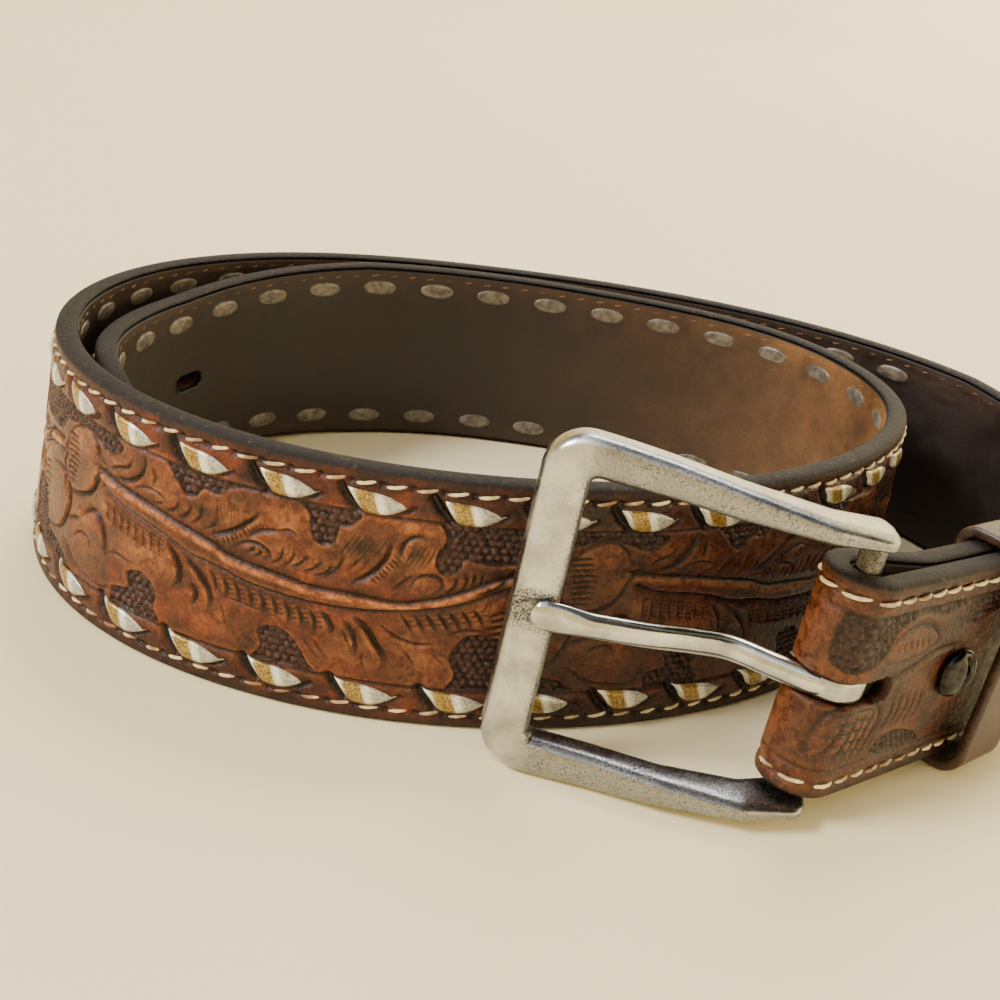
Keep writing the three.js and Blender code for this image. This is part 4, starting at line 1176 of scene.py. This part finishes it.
# The lacing: from the outside each lace is a slanted lozenge
LACE_ROWS = 26
LACE_COLUMNS = 7
LACE_UPPER = [(5.5, 1.8), (2.2, 1.75), (-1.6, 1.25), (-5.5, -0.05)]
LACE_LOWER = [(2.7, -1.65), (0.5, -1.8), (-2.4, -1.55), (-5.5, -0.15)]
LACE_RISE_AT = [0, 0.05, 0.12, 0.3, 0.6, 0.85, 1]
LACE_RISE = [-0.75, 0.15, 0.5, 0.72, 0.62, 0.3, -0.25]


def build_lacing(material):
    """Each lozenge is a bent sheet with a gold band between its lower point and its middle."""
    u = np.linspace(0, 1, LACE_ROWS)
    upper = smooth_line(LACE_UPPER, 40)
    lower = smooth_line(LACE_LOWER, 40)
    at = np.linspace(0, 1, len(upper))
    w = np.linspace(0, 1, LACE_COLUMNS)
    low, high = [np.stack([np.interp(u, at, column) for column in line.T], -1)[:, None]
                 for line in (lower, upper)]
    sheet = low * (1 - w)[None, :, None] + high * w[None, :, None]
    rise = np.interp(u, LACE_RISE_AT, LACE_RISE)[:, None] - 0.28 * np.abs(2 * w - 1) ** 3
    under = [LACE_COLUMNS - 1, 0]
    ring = np.concatenate([sheet, sheet[:, under]], 1)
    rises = np.concatenate([rise, rise[:, under] - 0.55], 1)
    gold_low = 0.05 + 0.09 * w
    gold_high = 0.47 + 0.03 * w
    gold = smooth_step((u[:, None] - gold_low) / 0.04) * smooth_step((gold_high - u[:, None]) / 0.04)
    grey = smooth_step((u[:, None] - 0.55) / 0.1) * np.ones_like(gold)
    masks_of_one = np.stack([np.concatenate([m, m[:, under]], 1) for m in (gold, grey, 0 * gold)], -1)
    rng = np.random.default_rng(5)
    points, colours = [], []
    count = int((LACE_END - LACE_REACH - FIRST_OUTER_LACE) / LACE_PITCH) + 1
    for side, shift in ((1, 0), (-1, LOWER_ROW_SHIFT)):
        for k in range(count):
            centre = FIRST_OUTER_LACE + shift + k * LACE_PITCH
            row = side * (float(read_strap("width", centre)) / 2 - LACE_FROM_EDGE)
            wobble = rng.normal(0, 0.12, 2)
            size = 1 + rng.normal(0, 0.025)
            along = centre + wobble[0] + ring[..., 0] * size
            points.append(on_strap(along, row + wobble[1] + ring[..., 1], OUTER_FACE + rises))
            colours.append(masks_of_one)
    points = np.concatenate([p.reshape(-1, 3) for p in points])
    faces = join_rings(points, LACE_ROWS, LACE_COLUMNS + 2)
    colours = np.concatenate([c.reshape(-1, 3) for c in colours])
    piece = new_mesh("lacing", points, [f[:, ::-1] for f in faces], {"lace": colours})
    finish_piece(piece, "strap", "leather_tooled", material)


def build_lace_backs(material):
    """Inside, each lace shows as a low oval."""
    rows, around = 6, 24
    turn = np.linspace(0, 2 * math.pi, around, endpoint=False)
    radius = np.array([1.02, 1.0, 0.9, 0.7, 0.4, 0.02])
    rise = np.array([-0.5, 0.12, 0.34, 0.46, 0.52, 0.54])
    points = []
    rng = np.random.default_rng(6)
    count = int((LACE_END - 2 * LACE_REACH - FIRST_INNER_LACE) / LACE_PITCH) + 1
    for side in (1, -1):
        for k in range(count):
            centre = FIRST_INNER_LACE + k * LACE_PITCH + rng.normal(0, 0.15)
            row = side * (float(read_strap("width", centre)) / 2 - LACE_FROM_EDGE)
            pointed = signed_power(np.cos(turn), 0.85)
            along = centre + radius[:, None] * pointed * INNER_LACE_LENGTH / 2
            height = row + radius[:, None] * np.sin(turn) * INNER_LACE_HEIGHT / 2
            points.append(on_strap(along, height, LINING_FACE - rise[:, None]).reshape(-1, 3))
    points = np.concatenate(points)
    piece = new_mesh("lace_backs", points, join_rings(points, rows, around))
    finish_piece(piece, "strap", "leather_lining", material)


# The stitching
STITCH_RINGS = 8
STITCH_AROUND = 6


def stitch_rows(starts, length, level, side_of_strap, from_edge, size_share, seed):
    """Two rows of stitches, one along each edge. Each stitch is a twist of two strands."""
    rng = np.random.default_rng(seed)
    u = np.linspace(0, 1, STITCH_RINGS)
    turn = np.linspace(0, 2 * math.pi, STITCH_AROUND, endpoint=False)
    points = []
    for side in (1, -1):
        for start in starts:
            size = 1 + rng.normal(0, 0.05)
            tilt = rng.normal(0.62, 0.14) * side_of_strap
            along = start + length * size * u
            width = float(read_strap("width", start))
            middle = side * (width / 2 - from_edge) + (u - 0.5) * -tilt + rng.normal(0, 0.07)
            rise = 0.12 * side - 0.08 + 0.62 * np.sin(math.pi * u) ** 0.55 - 0.42
            arch = level + side_of_strap * rise
            thick = size_share * (0.12 + 0.22 * np.sin(math.pi * u) ** 0.5)
            twist = 2.6 * u * math.pi + rng.uniform(0, 1)
            lobes = 0.72 + 0.34 * np.abs(np.cos(turn[None] - twist[:, None]))
            across = thick[:, None] * lobes * np.cos(turn)
            outward = thick[:, None] * lobes * np.sin(turn)
            points.append(on_strap(along[:, None] + 0 * across, middle[:, None] + across,
                                   arch[:, None] + outward).reshape(-1, 3))
    return points


def build_stitching(clean, grimy):
    main = np.arange(FIRST_STITCH, CHAPE_START, STITCH_PITCH)
    end = np.arange(CHAPE_START + 2, WHOLE_LENGTH - 6, 4.0)
    for name, *row in [
        ("stitches_outside", main, STITCH_LENGTH, OUTER_FACE - 0.15, 1, STITCH_FROM_EDGE, 1, 7),
        ("stitches_inside", main, 3.4, LINING_FACE + 0.25, -1, STITCH_FROM_EDGE, 0.65, 8),
        ("stitches_buckle_end", end, 3.4, OUTER_FACE - 0.12, 1, CHAPE_STITCH_FROM_EDGE, 1.15, 9),
    ]:
        points = np.concatenate(stitch_rows(*row))
        faces = join_rings(points, STITCH_RINGS, STITCH_AROUND)
        inside = name == "stitches_inside"
        if not inside:
            faces = [f[:, ::-1] for f in faces]
        finish_piece(new_mesh(name, points, faces), "strap",
                     "leather_lining" if inside else "leather_tooled", grimy if inside else clean)


# Axes at a place on the strap: x out of its face, y back along it, z up its width
def axes_at(along, turn=0.0, origin=None):
    out, up = read_strap("out", along), read_strap("up", along)
    if turn:
        out = turned(out[None], up, np.array([-turn]))[0]
    z = up / np.linalg.norm(up)
    y = np.cross(z, out)
    y /= np.linalg.norm(y)
    x = np.cross(y, z)
    origin = read_strap("middle", along) if origin is None else origin
    return np.stack([x, y, z], 1), origin + ORIGIN


def in_axes(axes, points):
    turn, origin = axes
    return points @ turn.T + origin


# The keeper
KEEPER_WIDTH = 12.5
KEEPER_LEATHER = 2.0
KEEPER_STANDOFF = 2.6
KEEPER_SLACK = 0.4
KEEPER_CORNERS = {"front": 5.0, "back": 3.6}
KEEPER_FROM_BAR = 37.5


def build_keeper(material):
    """A leather loop with a rounded rectangle for its path and two grooves along its face."""
    front = OUTER_FACE + KEEPER_STANDOFF + KEEPER_LEATHER
    back = -OUTER_FACE - FLAP_OFFSET - KEEPER_SLACK - KEEPER_LEATHER
    half = CHAPE_WIDTH / 2 + KEEPER_SLACK + KEEPER_LEATHER
    rf, rb = KEEPER_CORNERS["front"], KEEPER_CORNERS["back"]
    path, normals = [], []
    for x, z, r, first in [(front - rf, rf - half, rf, -90), (front - rf, half - rf, rf, 0),
                           (back + rb, half - rb, rb, 90), (back + rb, rb - half, rb, 180)]:
        for angle in np.radians(np.linspace(first, first + 90, 13)):
            path.append([x + r * math.cos(angle), z + r * math.sin(angle)])
            normals.append([math.cos(angle), math.sin(angle)])
    path, normals = np.array(path), np.array(normals)
    fine, fine_normals = [], []
    for i in range(len(path)):
        j = (i + 1) % len(path)
        steps = max(1, int(np.hypot(*(path[j] - path[i])) / 0.7))
        for t in np.arange(steps) / steps:
            fine.append(path[i] * (1 - t) + path[j] * t)
            n = normals[i] * (1 - t) + normals[j] * t
            fine_normals.append(n / np.hypot(*n))
    fine, fine_normals = np.array(fine), np.array(fine_normals)
    edge = 0.55
    w = KEEPER_WIDTH / 2
    # Places across the keeper, their level under its face, and how raw the leather is there
    section = [(y, 0.0, 0) for y in np.linspace(-w + edge, w - edge, 14)]
    section += [(w - edge + edge * math.sin(a), -edge + edge * math.cos(a), 0.5) for a in (0.5, 1.05)]
    section += [(w, -edge - 0.1, 1), (w, -KEEPER_LEATHER + edge, 1), (w - edge, -KEEPER_LEATHER, 1)]
    section += [(y, -KEEPER_LEATHER, 0.6) for y in np.linspace(w - edge, -w + edge, 6)[1:-1]]
    section += [(-w + edge, -KEEPER_LEATHER, 1), (-w, -KEEPER_LEATHER + edge, 1), (-w, -edge - 0.1, 1)]
    section += [(-w + edge - edge * math.sin(a), -edge + edge * math.cos(a), 0.5) for a in (1.05, 0.5)]
    section = np.array(section)
    groove = 0.22 * bell(np.abs(section[:, 0]) - w + 1.8, 0.35) * (section[:, 1] > -0.1)
    level = section[:, 1] - groove
    xz = fine[:, None] + fine_normals[:, None] * level[None, :, None]
    y = np.repeat(section[None, :, 0], len(fine), 0)
    points = np.stack([xz[..., 0], y, xz[..., 1]], -1)
    around = len(section)
    closed = np.concatenate([points, points[:1]], 0)
    faces = grid_faces(len(closed), around, True) % (len(fine) * around)
    mask = np.zeros((len(fine), around, 3))
    mask[..., 1] = section[:, 2]
    placed = in_axes(axes_at(BELT_LENGTH - KEEPER_FROM_BAR), points.reshape(-1, 3))
    piece = new_mesh("keeper", placed, faces, {"keeper": mask.reshape(-1, 3)})
    finish_piece(piece, "strap", "leather_keeper", material, "keeper_loop")


# The screws
SCREW_RADIUS = 4.5
SCREW_HEAD_HEIGHT = 2.8
SCREW_SLOT = 1.3
SCREW_SLOT_DEPTH = 1.2
SCREW_GAP = 0.3
SCREW_BACK_GAP = 0.6
POST_RADIUS = 2.5
SCREWS_FROM_BAR = {"fold_screw": 24.4, "flap_screw": 54.0}


def turned_piece(profile, around):
    """Rings of a lathe profile given as [outward along x, radius]."""
    turn = np.linspace(0, 2 * math.pi, around, endpoint=False)
    x = np.repeat(np.array([p[0] for p in profile])[:, None], around, 1)
    r = np.array([p[1] for p in profile])[:, None]
    return np.stack([x, r * np.cos(turn), r * np.sin(turn)], -1)


def build_screws(material):
    """Domed heads with a slot, on posts with low caps behind the flap."""
    face = OUTER_FACE + SCREW_GAP
    rear = -OUTER_FACE - FLAP_OFFSET - SCREW_BACK_GAP
    radii = np.concatenate([np.linspace(0.02, 0.93, 34), 0.93 + 0.07 * np.sin(np.linspace(0.2, 1.57, 7))])
    around = 96
    turn = np.linspace(0, 2 * math.pi, around, endpoint=False)
    y = SCREW_RADIUS * radii[:, None] * np.cos(turn)
    z = SCREW_RADIUS * radii[:, None] * np.sin(turn)
    dome = face + 0.5 + (SCREW_HEAD_HEIGHT - 0.5) * np.sqrt(np.clip(1 - radii**2, 0, 1))[:, None]
    slot = smooth_step((SCREW_SLOT / 2 + 0.12 - np.abs(y)) / 0.2)
    floor = face + SCREW_HEAD_HEIGHT - SCREW_SLOT_DEPTH
    head_x = dome + (np.minimum(dome, floor) - dome) * slot
    head = np.stack([head_x, y, z], -1)
    rest = turned_piece([(face + 0.25, SCREW_RADIUS), (face, SCREW_RADIUS - 0.15), (face, POST_RADIUS),
                         (rear, POST_RADIUS), (rear, SCREW_RADIUS), (rear - 0.9, SCREW_RADIUS),
                         (rear - 1.4, SCREW_RADIUS - 0.5), (rear - 1.4, 0.02)], around)
    points = np.concatenate([head, rest], 0)
    faces = [grid_faces(len(points), around, True)]
    caps = end_caps(len(points), around)
    for name, distance in SCREWS_FROM_BAR.items():
        placed = in_axes(axes_at(BELT_LENGTH - distance), points.reshape(-1, 3))
        piece = new_mesh(name + "_turned", placed, [*faces, caps])
        finish_piece(piece, "strap", "dark_nickel", material, name)


# The buckle, in its own axes: x out of the strap's face, y back from the free end, z along the bar
FRAME_HEIGHT = 58.4
FRAME_HEEL_HEIGHT = 49.0
FRAME_REACH = 51.5
FRAME_HEEL = 1.8
FRAME_SIDE = 7.6
ARM_ROOT = 6.6
ARM_HEEL = 2.2
FRAME_DEPTH = 6.0
FRAME_CREST = 10.3
FRAME_RAISE = 2.2
FRAME_CORNER = 7.0
INNER_CORNER = 1.2
SECTION_REACH = [-0.05, 0, 0.18, 0.44, 0.64, 0.9, 1]
SECTION_FRONT = [0.7, 0.8, 1, 0.8, 0.54, 0.3, 0.25]
SECTION_DEPTH = [1.65, 1.7, 1.45, 1.12, 1.04, 1, 1]
PRONG_THICKNESS = 3.4
PRONG_OVERHANG = 0.6
PRONG_TIP_WIDTH = 5.0
PRONG_TIP_THICKNESS = 2.4
PRONG_TIP_OUT = 3.7
NOTCH_RADIUS = PRONG_TIP_WIDTH / 2 + 0.5
SIDE_MIDDLE = FRAME_REACH - FRAME_SIDE / 2
BAR_SHOWN = BAR_RADIUS - 0.12  # clear of the prong as it turns
BAR_END = BAR_RADIUS - 0.4
EYE_BORE = BAR_RADIUS + 0.25
EYE_RADIUS = EYE_BORE + PRONG_THICKNESS


def frame_rim():
    """Outer and inner points of the frame's lower half, from the heel to the middle of the side."""
    arm, corner, side = 60, 18, 60
    root, inner_reach = FRAME_REACH - FRAME_CORNER, FRAME_REACH - FRAME_SIDE
    heel, outer_root = FRAME_HEEL_HEIGHT / 2, FRAME_HEIGHT / 2
    inner_root, opening = outer_root - ARM_ROOT, heel - ARM_HEEL
    outer, inner = [], []
    for i in range(arm + 1):
        t = 1 - i / arm
        outer.append([-FRAME_HEEL + (root + FRAME_HEEL) * (1 - t),
                      -outer_root + (outer_root - heel) * t**1.35])
        inner.append([-FRAME_HEEL + (inner_reach - INNER_CORNER + FRAME_HEEL) * (1 - t),
                      -inner_root + (inner_root - opening) * t])
    for i in range(1, corner + 1):
        turn = math.pi / 2 * i / corner
        outer.append([root + FRAME_CORNER * math.sin(turn),
                      FRAME_CORNER - outer_root - FRAME_CORNER * math.cos(turn)])
        inner.append([inner_reach - INNER_CORNER + INNER_CORNER * math.sin(turn),
                      INNER_CORNER - inner_root - INNER_CORNER * math.cos(turn)])
    for i in range(1, side + 1):
        t = i / side
        outer.append([FRAME_REACH, (FRAME_CORNER - outer_root) * (1 - t)])
        inner.append([inner_reach, (INNER_CORNER - inner_root) * (1 - t)])
    return np.array(outer), np.array(inner)


def rounded_section(count, squareness):
    """Points round a soft rectangle from -1 to 1: across it, and through its depth."""
    turn = np.linspace(0, 2 * math.pi, count, endpoint=False)
    return signed_power(np.cos(turn), squareness), signed_power(np.sin(turn), squareness)


def build_frame(material):
    """The open frame with a notch for the prong's tip, and the bar between its arms' ends."""
    outer, inner = frame_rim()
    outer = np.concatenate([outer, outer[:-1][::-1] * [1, -1]])
    inner = np.concatenate([inner, inner[:-1][::-1] * [1, -1]])
    lengths = np.concatenate([[0], np.cumsum(np.hypot(*np.diff((outer + inner) / 2, axis=0).T))])
    from_end = np.minimum(lengths, lengths[-1] - lengths)
    nose = np.sqrt(np.clip(1 - (1 - np.clip(from_end / 2.6, 0, 1)) ** 2, 0.0004, 1))
    across, through = rounded_section(44, 0.6)
    middle, half = (outer + inner) / 2, (outer - inner) / 2
    spread = across[None, :, None] * np.maximum(nose, 0.25)[:, None, None]
    plan = middle[:, None] + half[:, None] * spread
    share = np.clip(plan[..., 0] / FRAME_REACH, -0.05, 1)
    front = FRAME_CREST * np.interp(share, SECTION_REACH, SECTION_FRONT)
    depth = FRAME_DEPTH * np.interp(share, SECTION_REACH, SECTION_DEPTH)
    # The face is gently crowned, and falls away to the inner side
    x = front - depth / 2 + depth / 2 * through * nose[:, None]
    x -= 0.5 * (through > 0.2) * np.clip(-across, 0, 1) ** 2 * nose[:, None]
    reach, rise = plan[..., 0], plan[..., 1]
    from_middle = np.abs(rise)
    notch_floor = PRONG_TIP_OUT - PRONG_TIP_THICKNESS / 2 - 0.5
    bowl = notch_floor + NOTCH_RADIUS - np.sqrt(np.clip(NOTCH_RADIUS**2 - from_middle**2, 0, None))
    in_notch = (reach > FRAME_REACH - FRAME_SIDE - 2) & (from_middle < NOTCH_RADIUS)
    x = np.where(in_notch, np.minimum(x, bowl + np.where(from_middle > NOTCH_RADIUS - 0.3, 0.2, 0)), x)
    points = np.stack([x, -reach, rise + FRAME_RAISE], -1)
    rows, around = points.shape[:2]
    caps = end_caps(rows, around)
    grime = 0.85 * smooth_step((-across - 0.35) / 0.55) + 0.5 * (through < -0.3)
    by_notch = smooth_step((reach - 41) / 3) * smooth_step((NOTCH_RADIUS + 2 - from_middle) / 2.5)
    # The arms' front faces get a darker tone and darker spots: painted shade
    arm_painted_shade = smooth_step((np.abs(rise) - 21) / 2) * smooth_step((48 - reach) / 6) * (through > 0.4)
    mask = np.zeros((rows, around, 3))
    mask[..., 0] = np.clip(np.maximum(np.maximum(grime + 0.1, 0.7 * arm_painted_shade), 1.1 * by_notch), 0, 1)
    mask[..., 1] = 0.5 * arm_painted_shade
    axes = axes_at(BELT_LENGTH, HINGE_REST, BAR_CENTRE)
    piece = new_mesh("frame", in_axes(axes, points.reshape(-1, 3)),
                     [grid_faces(rows, around, True), caps], {"plate": mask.reshape(-1, 3)})
    finish_piece(piece, "frame", "nickel", material, "buckle_frame")
    opening = FRAME_HEEL_HEIGHT / 2 - ARM_HEEL / 2
    bar = turned_piece([(-opening - 0.3, BAR_END), (-opening, BAR_SHOWN),
                        (opening, BAR_SHOWN), (opening + 0.3, BAR_END)], 32)
    bar = bar[..., [1, 2, 0]] + [0, 0, FRAME_RAISE]
    rows, around = bar.shape[:2]
    caps = end_caps(rows, around)
    # The bar gets the full grime and the darker tone
    piece = new_mesh("bar", in_axes(axes, bar.reshape(-1, 3)), [grid_faces(rows, around, True), caps],
                     {"plate": np.zeros((rows * around, 3)) + [1, 1, 0]})
    finish_piece(piece, "frame", "nickel", material)


PRONG_REACH = [0, 0.07, 0.19, 0.33, 0.46, 0.61, 0.79, 0.88, 1]
PRONG_OUT = [1.08, 0.95, 0.42, -0.22, 0, 0.5, 0.89, 0.98, 1]
PRONG_RISE = [0, 0.03, 0.16, 0.33, 0.48, 0.66, 0.88, 0.97, 1]


def build_prong(material):
    """The shank follows a bent line and flattens at its tip, and the eye goes round the bar."""
    reach_end = SIDE_MIDDLE + PRONG_OVERHANG
    coarse = np.stack([PRONG_TIP_OUT * np.array(PRONG_OUT), -reach_end * np.array(PRONG_REACH),
                       FRAME_RAISE * np.array(PRONG_RISE)], 1)
    at = np.linspace(0, 1, 400)
    line = np.stack([catmull_rom(column, at) for column in coarse.T], 1)
    lengths = np.concatenate([[0], np.cumsum(np.linalg.norm(np.diff(line, axis=0), axis=1))])
    share = np.concatenate([np.linspace(0, 0.95, 90), 0.95 + 0.05 * np.sin(np.linspace(0.05, 1.57, 16))])
    middle = np.stack([np.interp(share * lengths[-1], lengths, column) for column in line.T], 1)
    forward = np.gradient(middle, axis=0)
    side = np.stack([-forward[:, 1], forward[:, 0], 0 * forward[:, 0]], 1)
    side /= np.linalg.norm(side, axis=1)[:, None]
    flat = smooth_step((share - 0.8) / 0.12)
    nose = np.sqrt(np.clip(1 - (np.clip(share - 0.95, 0, None) / 0.0502) ** 2, 0.0004, 1))
    width = (PRONG_WIDTH + (PRONG_TIP_WIDTH - PRONG_WIDTH) * flat) * nose / 2
    thick = (PRONG_THICKNESS + (PRONG_TIP_THICKNESS - PRONG_THICKNESS) * flat) * nose / 2
    across, through = rounded_section(32, 1.0)
    points = middle[:, None] + side[:, None] * (thick[:, None] * through)[..., None]
    points[..., 2] += width[:, None] * across
    rows, around = points.shape[:2]
    caps = end_caps(rows, around)
    mask = np.zeros((rows, around, 3))
    mask[..., 2] = 1
    # The eye is a rounded ring about the bar
    turn = np.linspace(0, 2 * math.pi, 64, endpoint=False)
    ring_across, ring_through = rounded_section(24, 0.55)
    radius = (EYE_RADIUS + EYE_BORE) / 2 + (EYE_RADIUS - EYE_BORE) / 2 * ring_across
    eye = np.stack([radius * np.cos(turn)[:, None], radius * np.sin(turn)[:, None],
                    np.repeat((PRONG_WIDTH / 2 * ring_through)[None], len(turn), 0)], -1)
    eye_faces = grid_faces(len(turn) + 1, 24, True) % (len(turn) * 24)
    axes = axes_at(BELT_LENGTH, HINGE_REST, BAR_CENTRE)
    piece = new_mesh("prong_shank", in_axes(axes, points.reshape(-1, 3)),
                     [grid_faces(rows, around, True), caps], {"plate": mask.reshape(-1, 3)})
    finish_piece(piece, "prong", "nickel", material, "buckle_prong")
    piece = new_mesh("prong_eye", in_axes(axes, eye.reshape(-1, 3)), eye_faces,
                     {"plate": np.zeros((len(turn) * 24, 3)) + [0.3, 0.2, 0.5]})
    finish_piece(piece, "prong", "nickel", material)


# The floor, the light and the camera
CAMERA_PLACE = (-0.01183, -0.23101, 0.1214)
CAMERA_DOWN = 0.4372
CAMERA_ROLL = 0.1633
CAMERA_LENS = 43.48
STUDIO_PALE = "#fff0c4"
SKY_STRENGTH = 1.3
SKY_BRIGHTEST = (-0.62, -0.3, 0.72)
# Each lamp: its name, the way to it, its strength and how many degrees wide it looks
LAMPS = [
    ("key", (-0.84, -0.34, 0.62), 7.2, 22),
    ("front", (-0.1, -0.9, 0.5), 0.5, 50),
    ("back", (0.1, 0.6, 0.9), 2.0, 30),
]
BACKDROP_RADIUS = 3000.0


def studio():
    turn = np.linspace(0, 2 * math.pi, 96, endpoint=False)
    profile = [(0.00001, 0), (0.8, 0), (1, 0), (1.25, 0.06), (1.5, 0.25), (1.65, 0.55), (1.7, 1.2)]
    rings = [[(r * BACKDROP_RADIUS * math.cos(a), r * BACKDROP_RADIUS * math.sin(a), z * BACKDROP_RADIUS)
              for a in turn] for r, z in profile]
    floor = new_mesh("floor", np.array(rings), grid_faces(len(rings), 96, True)[:, ::-1])
    material, tree = new_material("matte pale paper")
    finish_material(tree, {"Base Color": linear(STUDIO_PALE), "Roughness": 0.9,
                           "Specular IOR Level": 0.1}, {})
    floor.data.materials.append(material)
    world = bpy.data.worlds.new("studio")
    world.use_nodes = True
    world.node_tree.nodes.clear()
    sky = world.node_tree
    way = add_node(sky, "ShaderNodeTexCoord")
    facing = add_node(sky, "ShaderNodeVectorMath", {"operation": "DOT_PRODUCT", 1: SKY_BRIGHTEST},
                      {0: way.outputs["Generated"]})
    shade = ramp(sky, facing.outputs["Value"], [(0.1, "#1c1b1a"), (0.6, "#6a6763"), (0.95, "#ffffff")])
    glow = add_node(sky, "ShaderNodeBackground", {"Strength": SKY_STRENGTH}, {"Color": shade})
    add_node(sky, "ShaderNodeOutputWorld", None, {"Surface": glow.outputs[0]})
    bpy.context.scene.world = world
    for name, towards, strength, softness in LAMPS:
        light = bpy.data.lights.new(name, "SUN")
        light.energy = strength
        light.angle = math.radians(softness)
        lamp = bpy.data.objects.new(name, light)
        lamp.rotation_euler = Vector(towards).to_track_quat("Z", "Y").to_euler()
        bpy.context.scene.collection.objects.link(lamp)


def photo_camera():
    """The camera stands and leans as the photograph's did."""
    camera = bpy.data.cameras.new("camera")
    camera.lens = CAMERA_LENS
    camera.sensor_width = 36
    camera.clip_start = 0.01
    down, roll = CAMERA_DOWN, CAMERA_ROLL
    right = Vector((math.cos(roll), math.sin(roll) * math.sin(down), math.sin(roll) * math.cos(down)))
    up = Vector((-math.sin(roll), math.cos(roll) * math.sin(down), math.cos(roll) * math.cos(down)))
    back = Vector((0, -math.cos(down), math.sin(down)))
    view = bpy.data.objects.new("camera", camera)
    view.matrix_world = Matrix.Translation(CAMERA_PLACE) @ Matrix((right, up, back)).transposed().to_4x4()
    bpy.context.scene.collection.objects.link(view)
    bpy.context.scene.camera = view


nickel = nickel_plate()
build_tooled_strap(tooled_leather())
build_lining(lining_leather())
build_lacing(lace_foil())
build_lace_backs(lace_back())
build_stitching(waxed_thread("waxed linen thread", "#8a6640", "#e6d2a6"),
                waxed_thread("grimy linen thread", "#4a3420", "#7d5c36"))
build_keeper(keeper_leather())
build_screws(dark_nickel())
build_frame(nickel)
build_prong(nickel)
studio()
photo_camera()
